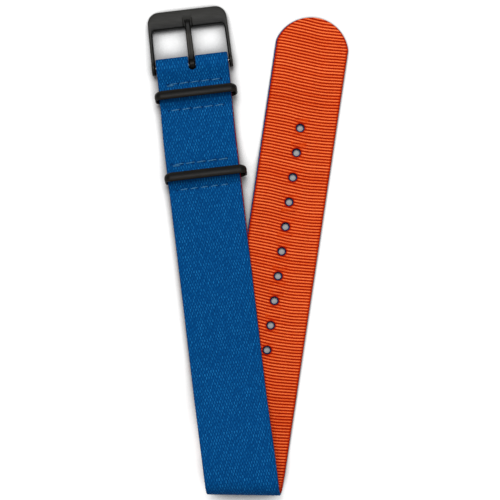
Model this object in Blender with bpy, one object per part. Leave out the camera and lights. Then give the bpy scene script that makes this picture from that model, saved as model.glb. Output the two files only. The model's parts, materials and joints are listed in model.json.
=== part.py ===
"""Slip-through watch strap of two bonded webbings, with a spring-bar buckle and two keeper rings.

The strap lies on a table, folded once. The tail half is flat on the table with its ribbed lining up. The
fold springs open, and the buckle half comes back over the tail half, turned a little to the left, with its
herringbone face up. At the buckle the strap loops round the spring bar and is tucked back under itself,
and four rows of stitches hold the tuck and shut in the back bars of the two rings.

Each half has its own coordinates: x across the strap, y along it from the fold's axis, z up from the table.
"""
import math

import bpy
import numpy as np

MM = 0.001

# The two webbings. Each is set a little to one side of the strap's middle line.
WEB_WIDTH = 20.0 * MM
PLY = 0.55 * MM
BOND_GAP = 0.2 * MM
PLY_OFFSET = 0.17 * MM
SELVEDGE = 0.15 * MM

# The fold, and the two halves that leave it
FOLD_RADIUS = 4.2 * MM
BUCKLE_HALF_TILT = math.radians(6.8)
TAIL_HALF_TILT = math.radians(8.5)
NODE_GAP = 0.3 * MM
FOLD_STEPS = 16
FOLD_COLUMNS = 3

# The tail half: a round tip and a row of punched holes
TAIL_LENGTH = 129.0 * MM
TIP_EASE = 0.4 * MM
TIP_BLEND = 14.0 * MM
TAIL_COLUMNS = 16
HOLE_DIAMETER = 2.4 * MM
HOLE_PITCH = 6.95 * MM
HOLE_COUNT = 10
FIRST_HOLE = 35.4 * MM
HOLE_SIDES = 16

# The buckle half, along its middle line from the fold's axis
SPRING_BAR_AT = 115.2 * MM
RAMP_LENGTH = 36.0 * MM
SHEAR_LENGTH = 22.0 * MM
TUCK_END = 78.3 * MM
ROW_AT = (110.3 * MM, 103.1 * MM, 88.1 * MM, 81.0 * MM)
STITCHED_UPPER_MID = 2.7 * MM
STITCHED_LOWER_MID = 1.1 * MM
BUMP_REACH = 2.4 * MM
RAMP_STEPS = 14
BUMP_STEPS = 5
RISE_STEPS = 5
LOOP_STEPS = 18
LOOP_FROM_ROW = 1.2 * MM
BUCKLE_COLUMNS = 3
BOW = 0.4 * MM
BOW_FROM = 28.7 * MM
BOW_TO = 91.7 * MM

# The keeper rings: a flat band whose back bar is round, so that it can turn in its tunnel
RING_AT = (105.8 * MM, 83.2 * MM)
RING_SIDE_GAP = 0.75 * MM
RING_SIDE = 0.7 * MM
RING_OFFSET = 0.1 * MM
RING_BAND = 2.6 * MM
RING_FRONT_THICKNESS = 1.15 * MM
RING_BACK_DIAMETER = 1.4 * MM
RING_INNER_HEIGHT = 3.4 * MM
RING_CORNER = 1.5 * MM
RING_NARROWING = 2.2 * MM
RING_CLEARANCE = 0.25 * MM
RING_LEAN = math.radians(18)
RING_CORNER_STEPS = 5
RING_SECTION_SIDES = 10

# The spring bar
BAR_DIAMETER = 1.8 * MM
BAR_BORE = 1.3 * MM
BAR_MOUTH = 1.0 * MM
BAR_MOUTH_LENGTH = 0.35 * MM
BAR_END_CHAMFER = 0.15 * MM
BAR_END_GAP = 0.3 * MM
PIN_DIAMETER = 0.8 * MM
PIN_POINT = 0.15 * MM
HEAD_DIAMETER = 1.1 * MM
HEAD_LENGTH = 1.2 * MM
HEAD_REST_GAP = 0.1 * MM
BAR_TO_LOOP = 0.3 * MM
ROUND_SIDES = 20
WIRE_DIAMETER = 0.16 * MM
SPRING_DIAMETER = 1.0 * MM
SPRING_CURLS = 12
SPRING_POINTS_PER_CURL = 9
SPRING_END_GAP = 0.15 * MM

# The buckle frame and its tongue
FRAME_SIDE_GAP = 0.3 * MM
ARM_WALL = 1.0 * MM
FRAME_TAPER = 0.6 * MM
FRAME_END_RADIUS = 1.9 * MM
FRAME_WINDOW = 10.45 * MM
FRAME_REACH = 15.5 * MM
FRAME_CORNER = 2.8 * MM
FRAME_WINDOW_CORNER = 0.9 * MM
FRAME_CORNER_STEPS = 7
ARM_DEPTH = 2.6 * MM
FRONT_BAR_DEPTH = 2.0 * MM
ARM_BLEND = 6.0 * MM
FRAME_EDGE = 0.3 * MM
ARM_STEPS = 6
ARM_END_STEPS = 5
ARM_TIP_HEIGHT = 0.5 * MM
ARM_HOLE = 1.2 * MM
NOTCH_WIDTH = 2.6 * MM
NOTCH_DEPTH = 0.35 * MM
NOTCH_SLOPE = 0.4 * MM
NOTCH_LENGTH = 2.9 * MM
NOTCH_PAST_SHARE = 0.64
TONGUE_WIDTH = 1.8 * MM
TONGUE_TIP_WIDTH = 1.5 * MM
TONGUE_THICKNESS = 1.1 * MM
TONGUE_REACH = 12.6 * MM
TONGUE_TIP_LENGTH = 1.6 * MM
TONGUE_KNEE = 9.3 * MM
TONGUE_EDGE = 0.15 * MM
CURL_BORE = 2.1 * MM
CURL_WALL = 0.6 * MM
CURL_STEPS = 16
TONGUE_GAP = 0.3 * MM
SLOT_SIDE_GAP = 0.3 * MM
SLOT_UNDER_GAP = 0.2 * MM
SLOT_BACK_GAP = 0.2 * MM

# The stitching: each row's length, its shift across the strap, and its thread
ROW_LENGTH = (14.9 * MM, 15.3 * MM, 15.3 * MM, 14.1 * MM)
ROW_SHIFT = (0.05 * MM, -0.05 * MM, -0.75 * MM, -0.75 * MM)
STITCHES = 5
THREAD_DIAMETER = 0.4 * MM
THREAD_BEND = 0.3 * MM
THREAD_LIFT = 0.25 * MM
NEEDLE_HOLE = 1.2 * MM
NEEDLE_HOLE_SIDES = 8
THREAD_SIDES = 6
THREAD_BEND_STEPS = 2

CUT_OVERRUN = 1.0 * MM

# Surface colours
BLUE = (0.0, 0.09, 0.33)
ORANGE = (0.85, 0.10, 0.01)
THREAD_BLUE = (0.10, 0.30, 0.60)
GUNMETAL = (0.055, 0.05, 0.045)
STEEL = (0.55, 0.55, 0.53)

# What follows from the sizes above
STRAP_THICKNESS = 2 * PLY + BOND_GAP
BOND_HALF = BOND_GAP / 2
FACE_LAYER = (BOND_HALF, BOND_HALF + PLY)
LINING_LAYER = (-BOND_HALF - PLY, -BOND_HALF)
FLAT_MID = STRAP_THICKNESS / 2
FOLD_AXIS_Z = FLAT_MID + FOLD_RADIUS
FOLD_TOP_MID = FOLD_AXIS_Z + FOLD_RADIUS
FOLD_SKEW = (BUCKLE_HALF_TILT + TAIL_HALF_TILT) / 2
FOLD_AXIS_TURN = (BUCKLE_HALF_TILT - TAIL_HALF_TILT) / 2
FOLD_SIDESTEP = math.pi * FOLD_RADIUS * math.tan(FOLD_SKEW) / 2
FOLD_HINGE_REACH = math.pi * FOLD_RADIUS / 4

TIP_RADIUS = WEB_WIDTH / 2 + TIP_EASE
RING_INNER_WIDTH = WEB_WIDTH + 2 * RING_SIDE_GAP
FRAME_END_INNER = WEB_WIDTH + 2 * FRAME_SIDE_GAP
FRAME_END_WIDTH = FRAME_END_INNER + 2 * ARM_WALL
FRAME_FRONT_INNER = FRAME_END_INNER - FRAME_TAPER
FRAME_FRONT_WIDTH = FRAME_FRONT_INNER + 2 * ARM_WALL

LOOP_RADIUS = BAR_DIAMETER / 2 + BAR_TO_LOOP + FLAT_MID
BAR_Z = FLAT_MID + LOOP_RADIUS
RING_BAR_Z = STRAP_THICKNESS + RING_CLEARANCE + RING_BACK_DIAMETER / 2
BUMP_MID = RING_BAR_Z + RING_BACK_DIAMETER / 2 + RING_CLEARANCE + FLAT_MID
FRONT_EDGE_REACH = FRAME_REACH - FRAME_EDGE
FRONT_EDGE_DISTANCE = math.hypot(FRONT_EDGE_REACH, FRONT_BAR_DEPTH / 2)
FRAME_DROOP = math.asin(BAR_Z / FRONT_EDGE_DISTANCE) - math.atan2(FRONT_BAR_DEPTH / 2, FRONT_EDGE_REACH)


def material(name, colour, roughness, metallic):
    """One plain surface colour for a sub-part."""
    made = bpy.data.materials.new(name)
    made.use_nodes = True
    shader = made.node_tree.nodes["Principled BSDF"]
    shader.inputs["Base Color"].default_value = (*colour, 1)
    shader.inputs["Roughness"].default_value = roughness
    shader.inputs["Metallic"].default_value = metallic
    return made


def webbing(name):
    """Woven nylon: blue on the face, orange on the lining."""
    return material(name, BLUE if name.startswith("face") else ORANGE, 0.85, 0.0)


def metal(name, colour):
    """Satin metal."""
    return material(name, colour, 0.35, 1.0)


def pivot(name, parent, location, turn_z=0.0, turn_x=0.0):
    """An empty on a joint's axis, which the pieces of one moving body hang from."""
    empty = bpy.data.objects.new(name, None)
    bpy.context.scene.collection.objects.link(empty)
    empty.parent = parent
    empty.location = location
    empty.rotation_euler = (turn_x, 0.0, turn_z)
    return empty


def add(name, points, faces, parent, surface=None, smooth=True):
    """A mesh object in its pivot's coordinates."""
    mesh = bpy.data.meshes.new(name)
    mesh.from_pydata([tuple(map(float, p)) for p in points], [], faces)
    if smooth:
        mesh.shade_smooth()
        mesh.set_sharp_from_angle(angle=math.radians(35))
    made = bpy.data.objects.new(name, mesh)
    bpy.context.scene.collection.objects.link(made)
    made.parent = parent
    if surface:
        mesh.materials.append(surface)
    return made


def prism(name, outline, direction, start, end, parent):
    """A cutter: an outline in two coordinates, carried along the third from start to end."""
    others = [axis for axis in range(3) if axis != direction]
    points = np.zeros((2, len(outline), 3))
    points[:, :, others] = np.array(outline)
    points[0, :, direction] = start
    points[1, :, direction] = end
    count = len(outline)
    sides = [(i, (i + 1) % count, count + (i + 1) % count, count + i) for i in range(count)]
    faces = [tuple(reversed(range(count))), tuple(range(count, 2 * count))] + sides
    if direction == 1:
        faces = [tuple(reversed(face)) for face in faces]
    made = add(name, points.reshape(-1, 3), faces, parent, smooth=False)
    made.hide_render = True
    made.display_type = "WIRE"
    return made


def circle(centre, diameter, sides):
    """Points round a circle, anticlockwise."""
    turn = [2 * math.pi * (i + 0.5) / sides for i in range(sides)]
    return [(centre[0] + diameter / 2 * math.cos(a), centre[1] + diameter / 2 * math.sin(a)) for a in turn]


def cut(piece, cutter):
    """Subtract one cutter from a piece."""
    change = piece.modifiers.new(cutter.name, "BOOLEAN")
    change.operation = "DIFFERENCE"
    change.solver = "EXACT"
    change.object = cutter


def joined(name, cutters, parent):
    """Several cutters that don't touch, as one mesh."""
    points = []
    faces = []
    for cutter in cutters:
        start = len(points)
        points += [vertex.co[:] for vertex in cutter.data.vertices]
        faces += [tuple(start + i for i in face.vertices) for face in cutter.data.polygons]
        bpy.data.objects.remove(cutter)
    made = add(name, points, faces, parent, smooth=False)
    made.hide_render = True
    made.display_type = "WIRE"
    return made


def places_across(columns):
    """Points across a ply: both edges, and evenly spaced ones between its two selvedges."""
    inside = np.linspace(-WEB_WIDTH / 2 + SELVEDGE, WEB_WIDTH / 2 - SELVEDGE, columns - 1)
    return np.concatenate([[-WEB_WIDTH / 2], inside, [WEB_WIDTH / 2]])


def layer_levels(layer, count):
    """A ply's inner and outer distance from the middle surface, point by point: its selvedges are thinner."""
    trim = np.zeros(count)
    trim[[0, -1]] = SELVEDGE
    return layer[0] + trim, layer[1] - trim


def ply(name, layer, mid, normal, sideways, shift, parent):
    """One straight or looped length of webbing.

    mid and normal give the strap's middle surface and its outward direction in the plane of length and
    height, station by station. layer is the ply's inner and outer distance from that surface. sideways is
    each point's place across. shift moves each point along the strap, to slant or to round an end.
    """
    grid = np.zeros((2, *sideways.shape, 3))
    for side, level in enumerate(layer_levels(layer, sideways.shape[1])):
        grid[side, :, :, 0] = sideways
        grid[side, :, :, 1] = mid[:, :1] + normal[:, :1] * level + shift
        grid[side, :, :, 2] = mid[:, 1:] + normal[:, 1:] * level
    return webbing_solid(name, grid, parent)


def webbing_solid(name, grid, parent):
    """A closed solid between two sheets of points, each with rows along the strap and columns across."""
    rows, count = grid.shape[1:3]

    def at(side, row, column):
        return (side * rows + row) * count + column

    faces = []
    for row in range(rows - 1):
        for column in range(count - 1):
            quad = [(row, column), (row, column + 1), (row + 1, column + 1), (row + 1, column)]
            faces.append([at(1, *corner) for corner in quad])
            faces.append([at(0, *corner) for corner in reversed(quad)])
        for column, step in ((0, 1), (count - 1, -1)):
            wall = [at(0, row, column), at(1, row, column), at(1, row + 1, column), at(0, row + 1, column)]
            faces.append(wall[::step])
    for column in range(count - 1):
        for row, step in ((0, 1), (rows - 1, -1)):
            wall = [at(0, row, column), at(0, row, column + 1), at(1, row, column + 1), at(1, row, column)]
            faces.append(wall[::step])
    return add(name, grid.reshape(-1, 3), faces, parent, webbing(name))


def ease(share):
    """A smooth step from 0 to 1."""
    return 0.5 - 0.5 * np.cos(np.pi * np.clip(share, 0, 1))


def upper_height(y):
    """The buckle half's middle surface above the table, between the fold and the loop."""
    height = STITCHED_UPPER_MID + (FOLD_TOP_MID - STITCHED_UPPER_MID) * (1 - ease(y / RAMP_LENGTH))
    for ring in RING_AT:
        bump = 1 - ease(abs(y - ring) / BUMP_REACH)
        height += (BUMP_MID - STITCHED_UPPER_MID) * bump
    rise = ease((y - ROW_AT[0]) / (SPRING_BAR_AT - ROW_AT[0]))
    return height + (BAR_Z + LOOP_RADIUS - STITCHED_UPPER_MID) * rise


def lower_height(y):
    """The tuck's middle surface above the table, between the loop and its cut end."""
    height = STITCHED_LOWER_MID + 0 * y
    for ring in RING_AT:
        height -= (STITCHED_LOWER_MID - FLAT_MID) * (1 - ease(abs(y - ring) / BUMP_REACH))
    drop = ease((y - ROW_AT[0]) / (SPRING_BAR_AT - ROW_AT[0]))
    return height - (STITCHED_LOWER_MID - FLAT_MID) * drop


def outward(path, turn):
    """The unit normals of a path of points, on its left where turn is 1 and on its right where -1."""
    run = np.gradient(path, axis=0)
    run /= np.linalg.norm(run, axis=1)[:, None]
    return turn * np.stack([-run[:, 1], run[:, 0]], axis=1)


def steps(start, end, size):
    """Evenly spaced stations from start to end, about size apart."""
    return np.linspace(start, end, max(2, round(abs(end - start) / size) + 1))


def buckle_half_path():
    """The middle surface from the fold over the rings, round the spring bar and back along the tuck.

    It comes with the numbers of the stations that start the level top layer, the loop and the tuck. Each
    stretch keeps a node's gap from the next. The loop starts and ends a little beyond the first stitch row.
    """
    ramp = np.linspace(NODE_GAP, RAMP_LENGTH - NODE_GAP / 2, RAMP_STEPS + 1)
    level = np.array([RAMP_LENGTH + NODE_GAP / 2, RAMP_LENGTH + SHEAR_LENGTH, TUCK_END])
    bump = np.linspace(-BUMP_REACH, BUMP_REACH, 2 * BUMP_STEPS + 1)
    seam = ROW_AT[0] + LOOP_FROM_ROW
    stitched = np.concatenate([RING_AT[1] + bump, RING_AT[0] + bump, [ROW_AT[0], seam - NODE_GAP / 2]])
    rise = np.linspace(seam + NODE_GAP / 2, SPRING_BAR_AT, RISE_STEPS + 1)[:-1]
    upper = np.concatenate([ramp, level, stitched, rise])
    top = np.stack([upper, upper_height(upper)], axis=1)
    turn = np.linspace(math.pi / 2, -math.pi / 2, LOOP_STEPS + 1)
    ring = np.stack([SPRING_BAR_AT + LOOP_RADIUS * np.cos(turn), BAR_Z + LOOP_RADIUS * np.sin(turn)], axis=1)
    lower = np.concatenate([rise[::-1], stitched[::-1], [TUCK_END]])
    bottom = np.stack([lower, lower_height(lower)], axis=1)
    loop_starts = len(upper) - len(rise)
    tuck_starts = len(upper) + len(ring) + len(rise)
    return np.concatenate([top, ring, bottom]), (len(ramp), loop_starts, tuck_starts)


def bow(y):
    """How far the buckle half's middle line lies to the left of straight."""
    return BOW * ease(y / BOW_FROM) * (1 - ease((y - BOW_TO) / (SPRING_BAR_AT - BOW_TO)))


def strap_plies():
    """The twelve webbing nodes, six a ply: ramp, buckle half, loop and tuck, then the tail and the fold."""
    path, breaks = buckle_half_path()
    normal = outward(path, 1)
    along = path[:, 0]
    slant = 1 - ease((along - RAMP_LENGTH) / SHEAR_LENGTH)
    slant[breaks[1]:] = 0
    stretches = dict(zip(("ramp", "buckle_half", "loop", "tuck"), np.split(np.arange(len(path)), breaks)))
    skew = math.tan(FOLD_SKEW)
    made = {}
    layers = {"face": (FACE_LAYER, -PLY_OFFSET), "lining": (LINING_LAYER, PLY_OFFSET)}
    for kind, (layer, offset) in layers.items():
        across = places_across(BUCKLE_COLUMNS) + offset
        sideways = across - bow(along)[:, None]
        moved = -slant[:, None] * across * skew
        for stretch, rows in stretches.items():
            name = f"{kind}_webbing_{stretch}"
            made[name] = ply(name, layer, path[rows], normal[rows], sideways[rows], moved[rows], BUCKLE_HALF)

    tail_along = np.concatenate([
        steps(NODE_GAP, FIRST_HOLE, FIRST_HOLE / 4),
        steps(FIRST_HOLE, TAIL_LENGTH - TIP_BLEND, FIRST_HOLE / 2)[1:],
        steps(TAIL_LENGTH - TIP_BLEND, TAIL_LENGTH, TIP_BLEND / 4)[1:],
    ])
    tail_path = np.stack([tail_along, np.full(len(tail_along), FLAT_MID)], axis=1)
    down = np.tile([0.0, -1.0], (len(tail_along), 1))
    across = places_across(TAIL_COLUMNS)
    sag = TIP_RADIUS - np.sqrt(TIP_RADIUS ** 2 - across ** 2)
    rounding = ease((tail_along - TAIL_LENGTH + TIP_BLEND) / TIP_BLEND)
    slant = 1 - ease(tail_along / FIRST_HOLE)
    for kind, (layer, offset) in layers.items():
        name = kind + "_webbing_tail_half"
        sideways = np.tile(across + offset, (len(tail_along), 1))
        moved = slant[:, None] * (across + offset) * skew - rounding[:, None] * sag
        made[name] = ply(name, layer, tail_path, down, sideways, moved, TAIL_HALF)
        made[name].data.flip_normals()

    angle = np.linspace(0, math.pi, FOLD_STEPS + 1)
    for kind, (layer, offset) in layers.items():
        name = kind + "_webbing_fold"
        made[name] = fold_ply(name, layer, offset, angle)
    return made


def fold_ply(name, layer, offset, angle):
    """One ply of the fold, which runs at a slant round a level half cylinder."""
    across = places_across(FOLD_COLUMNS)
    sidestep = FOLD_SIDESTEP * (1 - 2 * angle / math.pi)
    grid = np.zeros((2, len(angle), len(across), 3))
    for side, level in enumerate(layer_levels(layer, len(across))):
        radius = FOLD_RADIUS + level
        grid[side, :, :, 0] = (across + offset) / math.cos(FOLD_SKEW) + sidestep[:, None]
        grid[side, :, :, 1] = -np.sin(angle)[:, None] * radius
        grid[side, :, :, 2] = FOLD_AXIS_Z - np.cos(angle)[:, None] * radius
    return webbing_solid(name, grid, FOLD)


def punch_tail(plies):
    """The row of round holes for the tongue, through both plies."""
    cutters = []
    for index in range(HOLE_COUNT):
        centre = (0.0, FIRST_HOLE + index * HOLE_PITCH)
        outline = circle(centre, HOLE_DIAMETER, HOLE_SIDES)
        cutters.append(prism("hole", outline, 2, -CUT_OVERRUN, STRAP_THICKNESS + CUT_OVERRUN, TAIL_HALF))
    cutter = joined("punched_holes_cutter", cutters, TAIL_HALF)
    for kind in ("face", "lining"):
        cut(plies[kind + "_webbing_tail_half"], cutter)


def stitch_places(row):
    """Where a row's needle holes lie across the strap."""
    half = ROW_LENGTH[row] / 2
    return np.linspace(ROW_SHIFT[row] - half, ROW_SHIFT[row] + half, STITCHES + 1)


def pierce_buckle_half(plies):
    """The needle holes of all four rows, and the slot in the loop that the tongue comes out of."""
    cutters = []
    ceiling = FOLD_TOP_MID + STRAP_THICKNESS
    for row, y in enumerate(ROW_AT):
        for x in stitch_places(row):
            outline = circle((x, y), NEEDLE_HOLE, NEEDLE_HOLE_SIDES)
            cutters.append(prism("stitch", outline, 2, -CUT_OVERRUN, ceiling, BUCKLE_HALF))
    needle_cutter = joined("needle_holes_cutter", cutters, BUCKLE_HALF)
    curl = CURL_BORE / 2 + CURL_WALL
    back = SPRING_BAR_AT - curl - SLOT_BACK_GAP
    front = SPRING_BAR_AT + LOOP_RADIUS + STRAP_THICKNESS
    half = TONGUE_WIDTH / 2 + SLOT_SIDE_GAP
    step = BAR_Z - curl - SLOT_UNDER_GAP
    outline = [(back, step), (SPRING_BAR_AT, step), (SPRING_BAR_AT, -CUT_OVERRUN), (front, -CUT_OVERRUN)]
    outline += [(front, ceiling), (back, ceiling)]
    slot_cutter = prism("tongue_slot_cutter", outline, 0, -half, half, BUCKLE_HALF)
    for kind in ("face", "lining"):
        cut(plies[kind + "_webbing_buckle_half"], needle_cutter)
        cut(plies[kind + "_webbing_tuck"], needle_cutter)
        cut(plies[kind + "_webbing_loop"], slot_cutter)


def thread_path(row, surface, way):
    """A stitch row's thread: flat runs on the surface, with a round dip into every needle hole.

    way is 1 for the needle thread above the strap, and -1 for the bobbin thread below it.
    """
    quarter = np.linspace(0, math.pi / 2, THREAD_BEND_STEPS + 1)
    fall = THREAD_BEND * (1 - np.cos(quarter))
    reach = THREAD_BEND * np.sin(quarter)
    into = [(2 * THREAD_BEND - x, -z) for x, z in zip(reach, fall)]
    into += [(THREAD_BEND - x, -THREAD_BEND - z) for x, z in zip(fall[1:], reach[1:])]
    out = [(-x, z) for x, z in into]
    points = []
    holes = stitch_places(row)
    for index, hole in enumerate(holes):
        if index > 0:
            points += [(hole + x, z) for x, z in out]
        if index < len(holes) - 1:
            points += [(hole + x, z) for x, z in (into[::-1] if index == 0 else into[::-1][1:])]
    path = np.array(points)
    path[:, 1] = surface + way * (THREAD_LIFT + path[:, 1])
    return path


def thread_row(name, row, surface, way):
    """One row's thread as a tube swept along its path in the plane across the strap."""
    path = thread_path(row, surface, way)
    normal = outward(path, 1)
    turn = 2 * math.pi * (np.arange(THREAD_SIDES) + 0.5) / THREAD_SIDES
    radius = THREAD_DIAMETER / 2
    points = np.zeros((len(path), THREAD_SIDES, 3))
    points[:, :, 0] = path[:, :1] + normal[:, :1] * radius * np.cos(turn)
    points[:, :, 1] = ROW_AT[row] + radius * np.sin(turn)
    points[:, :, 2] = path[:, 1:] + normal[:, 1:] * radius * np.cos(turn)
    add(name, points.reshape(-1, 3), tube_faces(len(path), THREAD_SIDES), BUCKLE_HALF,
        material(name, THREAD_BLUE, 0.7, 0.0))


def tube_faces(rows, sides):
    """Faces of a capped tube whose rings of points follow one another."""
    faces = [tuple(range(sides)), tuple((rows - 1) * sides + i for i in reversed(range(sides)))]
    for row in range(rows - 1):
        for side in range(sides):
            follow = (side + 1) % sides
            faces.append((row * sides + side, (row + 1) * sides + side,
                          (row + 1) * sides + follow, row * sides + follow))
    return faces


def keeper_ring(name, parent):
    """A keeper ring: a band bent to a rounded oblong about its back bar, which lies on the pivot.

    The band is broad at the front bar and down both sides, and narrows to a round back bar at the corners.
    """
    half_width = (RING_INNER_WIDTH + RING_SIDE) / 2
    back = 0.0
    front = RING_BACK_DIAMETER / 2 + RING_INNER_HEIGHT + RING_FRONT_THICKNESS / 2
    corners = [(half_width, back, -90), (half_width, front, 0)]
    corners += [(-half_width, front, 90), (-half_width, back, 180)]
    path = []
    for x, z, start in corners:
        centre_x = x - math.copysign(RING_CORNER, x)
        centre_z = z + (RING_CORNER if z == back else -RING_CORNER)
        for index in range(RING_CORNER_STEPS + 1):
            angle = math.radians(start + 90 * index / RING_CORNER_STEPS)
            path.append((centre_x + RING_CORNER * math.cos(angle), centre_z + RING_CORNER * math.sin(angle)))
    path = np.array(path)
    run = np.roll(path, -1, axis=0) - np.roll(path, 1, axis=0)
    run /= np.linalg.norm(run, axis=1)[:, None]
    normal = np.stack([run[:, 1], -run[:, 0]], axis=1)
    climb = ease((path[:, 1] - back) / RING_NARROWING)
    band = (RING_BACK_DIAMETER + (RING_BAND - RING_BACK_DIAMETER) * climb) / 2
    level = np.abs(normal[:, 1])
    bar_wall = np.where(path[:, 1] < (back + front) / 2, RING_BACK_DIAMETER, RING_FRONT_THICKNESS)
    wall = (RING_SIDE + (bar_wall - RING_SIDE) * level) / 2
    turn = 2 * math.pi * (np.arange(RING_SECTION_SIDES) + 0.5) / RING_SECTION_SIDES
    squareness_share = 0.7
    cosine = np.sign(np.cos(turn)) * np.abs(np.cos(turn)) ** squareness_share
    sine = np.sign(np.sin(turn)) * np.abs(np.sin(turn)) ** squareness_share
    points = np.zeros((len(path), RING_SECTION_SIDES, 3))
    points[:, :, 0] = path[:, :1] + normal[:, :1] * wall[:, None] * cosine
    points[:, :, 1] = band[:, None] * sine
    points[:, :, 2] = path[:, 1:] + normal[:, 1:] * wall[:, None] * cosine
    rows = len(path)
    faces = []
    for row in range(rows):
        for side in range(RING_SECTION_SIDES):
            ahead = (row + 1) % rows
            follow = (side + 1) % RING_SECTION_SIDES
            faces.append((row * RING_SECTION_SIDES + side, row * RING_SECTION_SIDES + follow,
                          ahead * RING_SECTION_SIDES + follow, ahead * RING_SECTION_SIDES + side))
    add(name, points.reshape(-1, 3), faces, parent, metal(name, GUNMETAL))


def turned(name, profile, parent, surface, closed):
    """A piece turned about the spring bar's axis, from (distance along, radius) points.

    closed says that the profile comes back to its first point, as a tube's does.
    """
    turn = 2 * math.pi * (np.arange(ROUND_SIDES) + 0.5) / ROUND_SIDES
    profile = np.array(profile)
    points = np.zeros((len(profile), ROUND_SIDES, 3))
    points[:, :, 0] = profile[:, :1]
    points[:, :, 1] = profile[:, 1:] * np.cos(turn)
    points[:, :, 2] = profile[:, 1:] * np.sin(turn)
    rows = len(profile)
    faces = []
    for row in range(rows if closed else rows - 1):
        ahead = (row + 1) % rows
        for side in range(ROUND_SIDES):
            follow = (side + 1) % ROUND_SIDES
            faces.append((row * ROUND_SIDES + side, row * ROUND_SIDES + follow,
                          ahead * ROUND_SIDES + follow, ahead * ROUND_SIDES + side))
    if not closed:
        faces.append(tuple(reversed(range(ROUND_SIDES))))
        faces.append(tuple((rows - 1) * ROUND_SIDES + i for i in range(ROUND_SIDES)))
    if not profile_runs_outwards(profile):
        faces = [face[::-1] for face in faces]
    return add(name, points.reshape(-1, 3), faces, parent, surface)


def profile_runs_outwards(profile):
    """Whether turning the profile as listed gives faces that point away from the solid."""
    ahead = np.roll(profile, -1, axis=0)
    return float(np.sum(profile[:, 0] * ahead[:, 1] - ahead[:, 0] * profile[:, 1])) < 0


def spring_bar():
    """The tube with its crimped mouths, the two sliding tips and the coil spring between their heads."""
    half = FRAME_END_INNER / 2 - BAR_END_GAP
    outer = BAR_DIAMETER / 2
    bore = BAR_BORE / 2
    mouth = BAR_MOUTH / 2
    bore_end = half - BAR_MOUTH_LENGTH
    right_half = [(bore_end, bore), (bore_end, mouth), (half, mouth), (half, outer - BAR_END_CHAMFER),
                  (half - BAR_END_CHAMFER, outer)]
    profile = right_half + [(-x, r) for x, r in reversed(right_half)]
    turned("spring_bar_tube", profile, SPRING_BAR, metal("spring_bar_tube", STEEL), True)

    pin = PIN_DIAMETER / 2
    head = HEAD_DIAMETER / 2
    end = FRAME_END_WIDTH / 2
    head_outer = bore_end - HEAD_REST_GAP
    head_inner = head_outer - HEAD_LENGTH
    profile = [(head_inner, head), (head_outer, head), (head_outer, pin), (end - PIN_POINT, pin),
               (end, pin - PIN_POINT)]
    for side, way in (("right", 1), ("left", -1)):
        name = "spring_bar_tip_" + side
        carrier = pivot(name + "_slide", SPRING_BAR, (way * head_outer, 0, 0))
        placed = [(way * (x - head_outer), r) for x, r in profile]
        turned(name, placed, carrier, metal(name, STEEL), False)

    reach = head_inner - SPRING_END_GAP - WIRE_DIAMETER / 2
    count = SPRING_CURLS * SPRING_POINTS_PER_CURL
    share = np.linspace(0, 1, count + 1)
    angle = 2 * math.pi * SPRING_CURLS * share
    radius = (SPRING_DIAMETER - WIRE_DIAMETER) / 2
    route = np.stack([(2 * share - 1) * reach, radius * np.cos(angle), radius * np.sin(angle)], axis=1)
    least = least_gap_to_itself(route, WIRE_DIAMETER, SPRING_POINTS_PER_CURL)
    print("spring: least gap between curls", round(least / MM, 2), "mm")
    curve = bpy.data.curves.new("spring_bar_spring", "CURVE")
    curve.dimensions = "3D"
    curve.bevel_depth = WIRE_DIAMETER / 2
    curve.bevel_resolution = 1
    curve.use_fill_caps = True
    spline = curve.splines.new("POLY")
    spline.points.add(len(route) - 1)
    for point, place in zip(spline.points, route):
        point.co = (*place, 1)
    curve.materials.append(metal("spring_bar_spring", STEEL))
    made = bpy.data.objects.new("spring_bar_spring", curve)
    bpy.context.scene.collection.objects.link(made)
    made.parent = SPRING_BAR


def least_gap_to_itself(route, diameter, apart):
    """The least clear distance between stretches of one wire that lie more than apart points away."""
    gaps = np.linalg.norm(route[:, None] - route[None], axis=2)
    index = np.arange(len(route))
    far = np.abs(index[:, None] - index[None]) >= apart
    return float(gaps[far].min()) - diameter


def frame_half_depth(forward):
    """Half the frame's depth, from the round arm end to the front bar."""
    to_front = ease((forward - FRAME_END_RADIUS) / ARM_BLEND)
    depth = ARM_DEPTH + (FRONT_BAR_DEPTH - ARM_DEPTH) * to_front
    round_end = np.sqrt(np.maximum(FRAME_END_RADIUS ** 2 - forward ** 2, (ARM_TIP_HEIGHT / 2) ** 2))
    return np.where(forward < 0, round_end, np.maximum(depth / 2, np.where(
        forward < FRAME_END_RADIUS, round_end, 0)))


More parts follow.
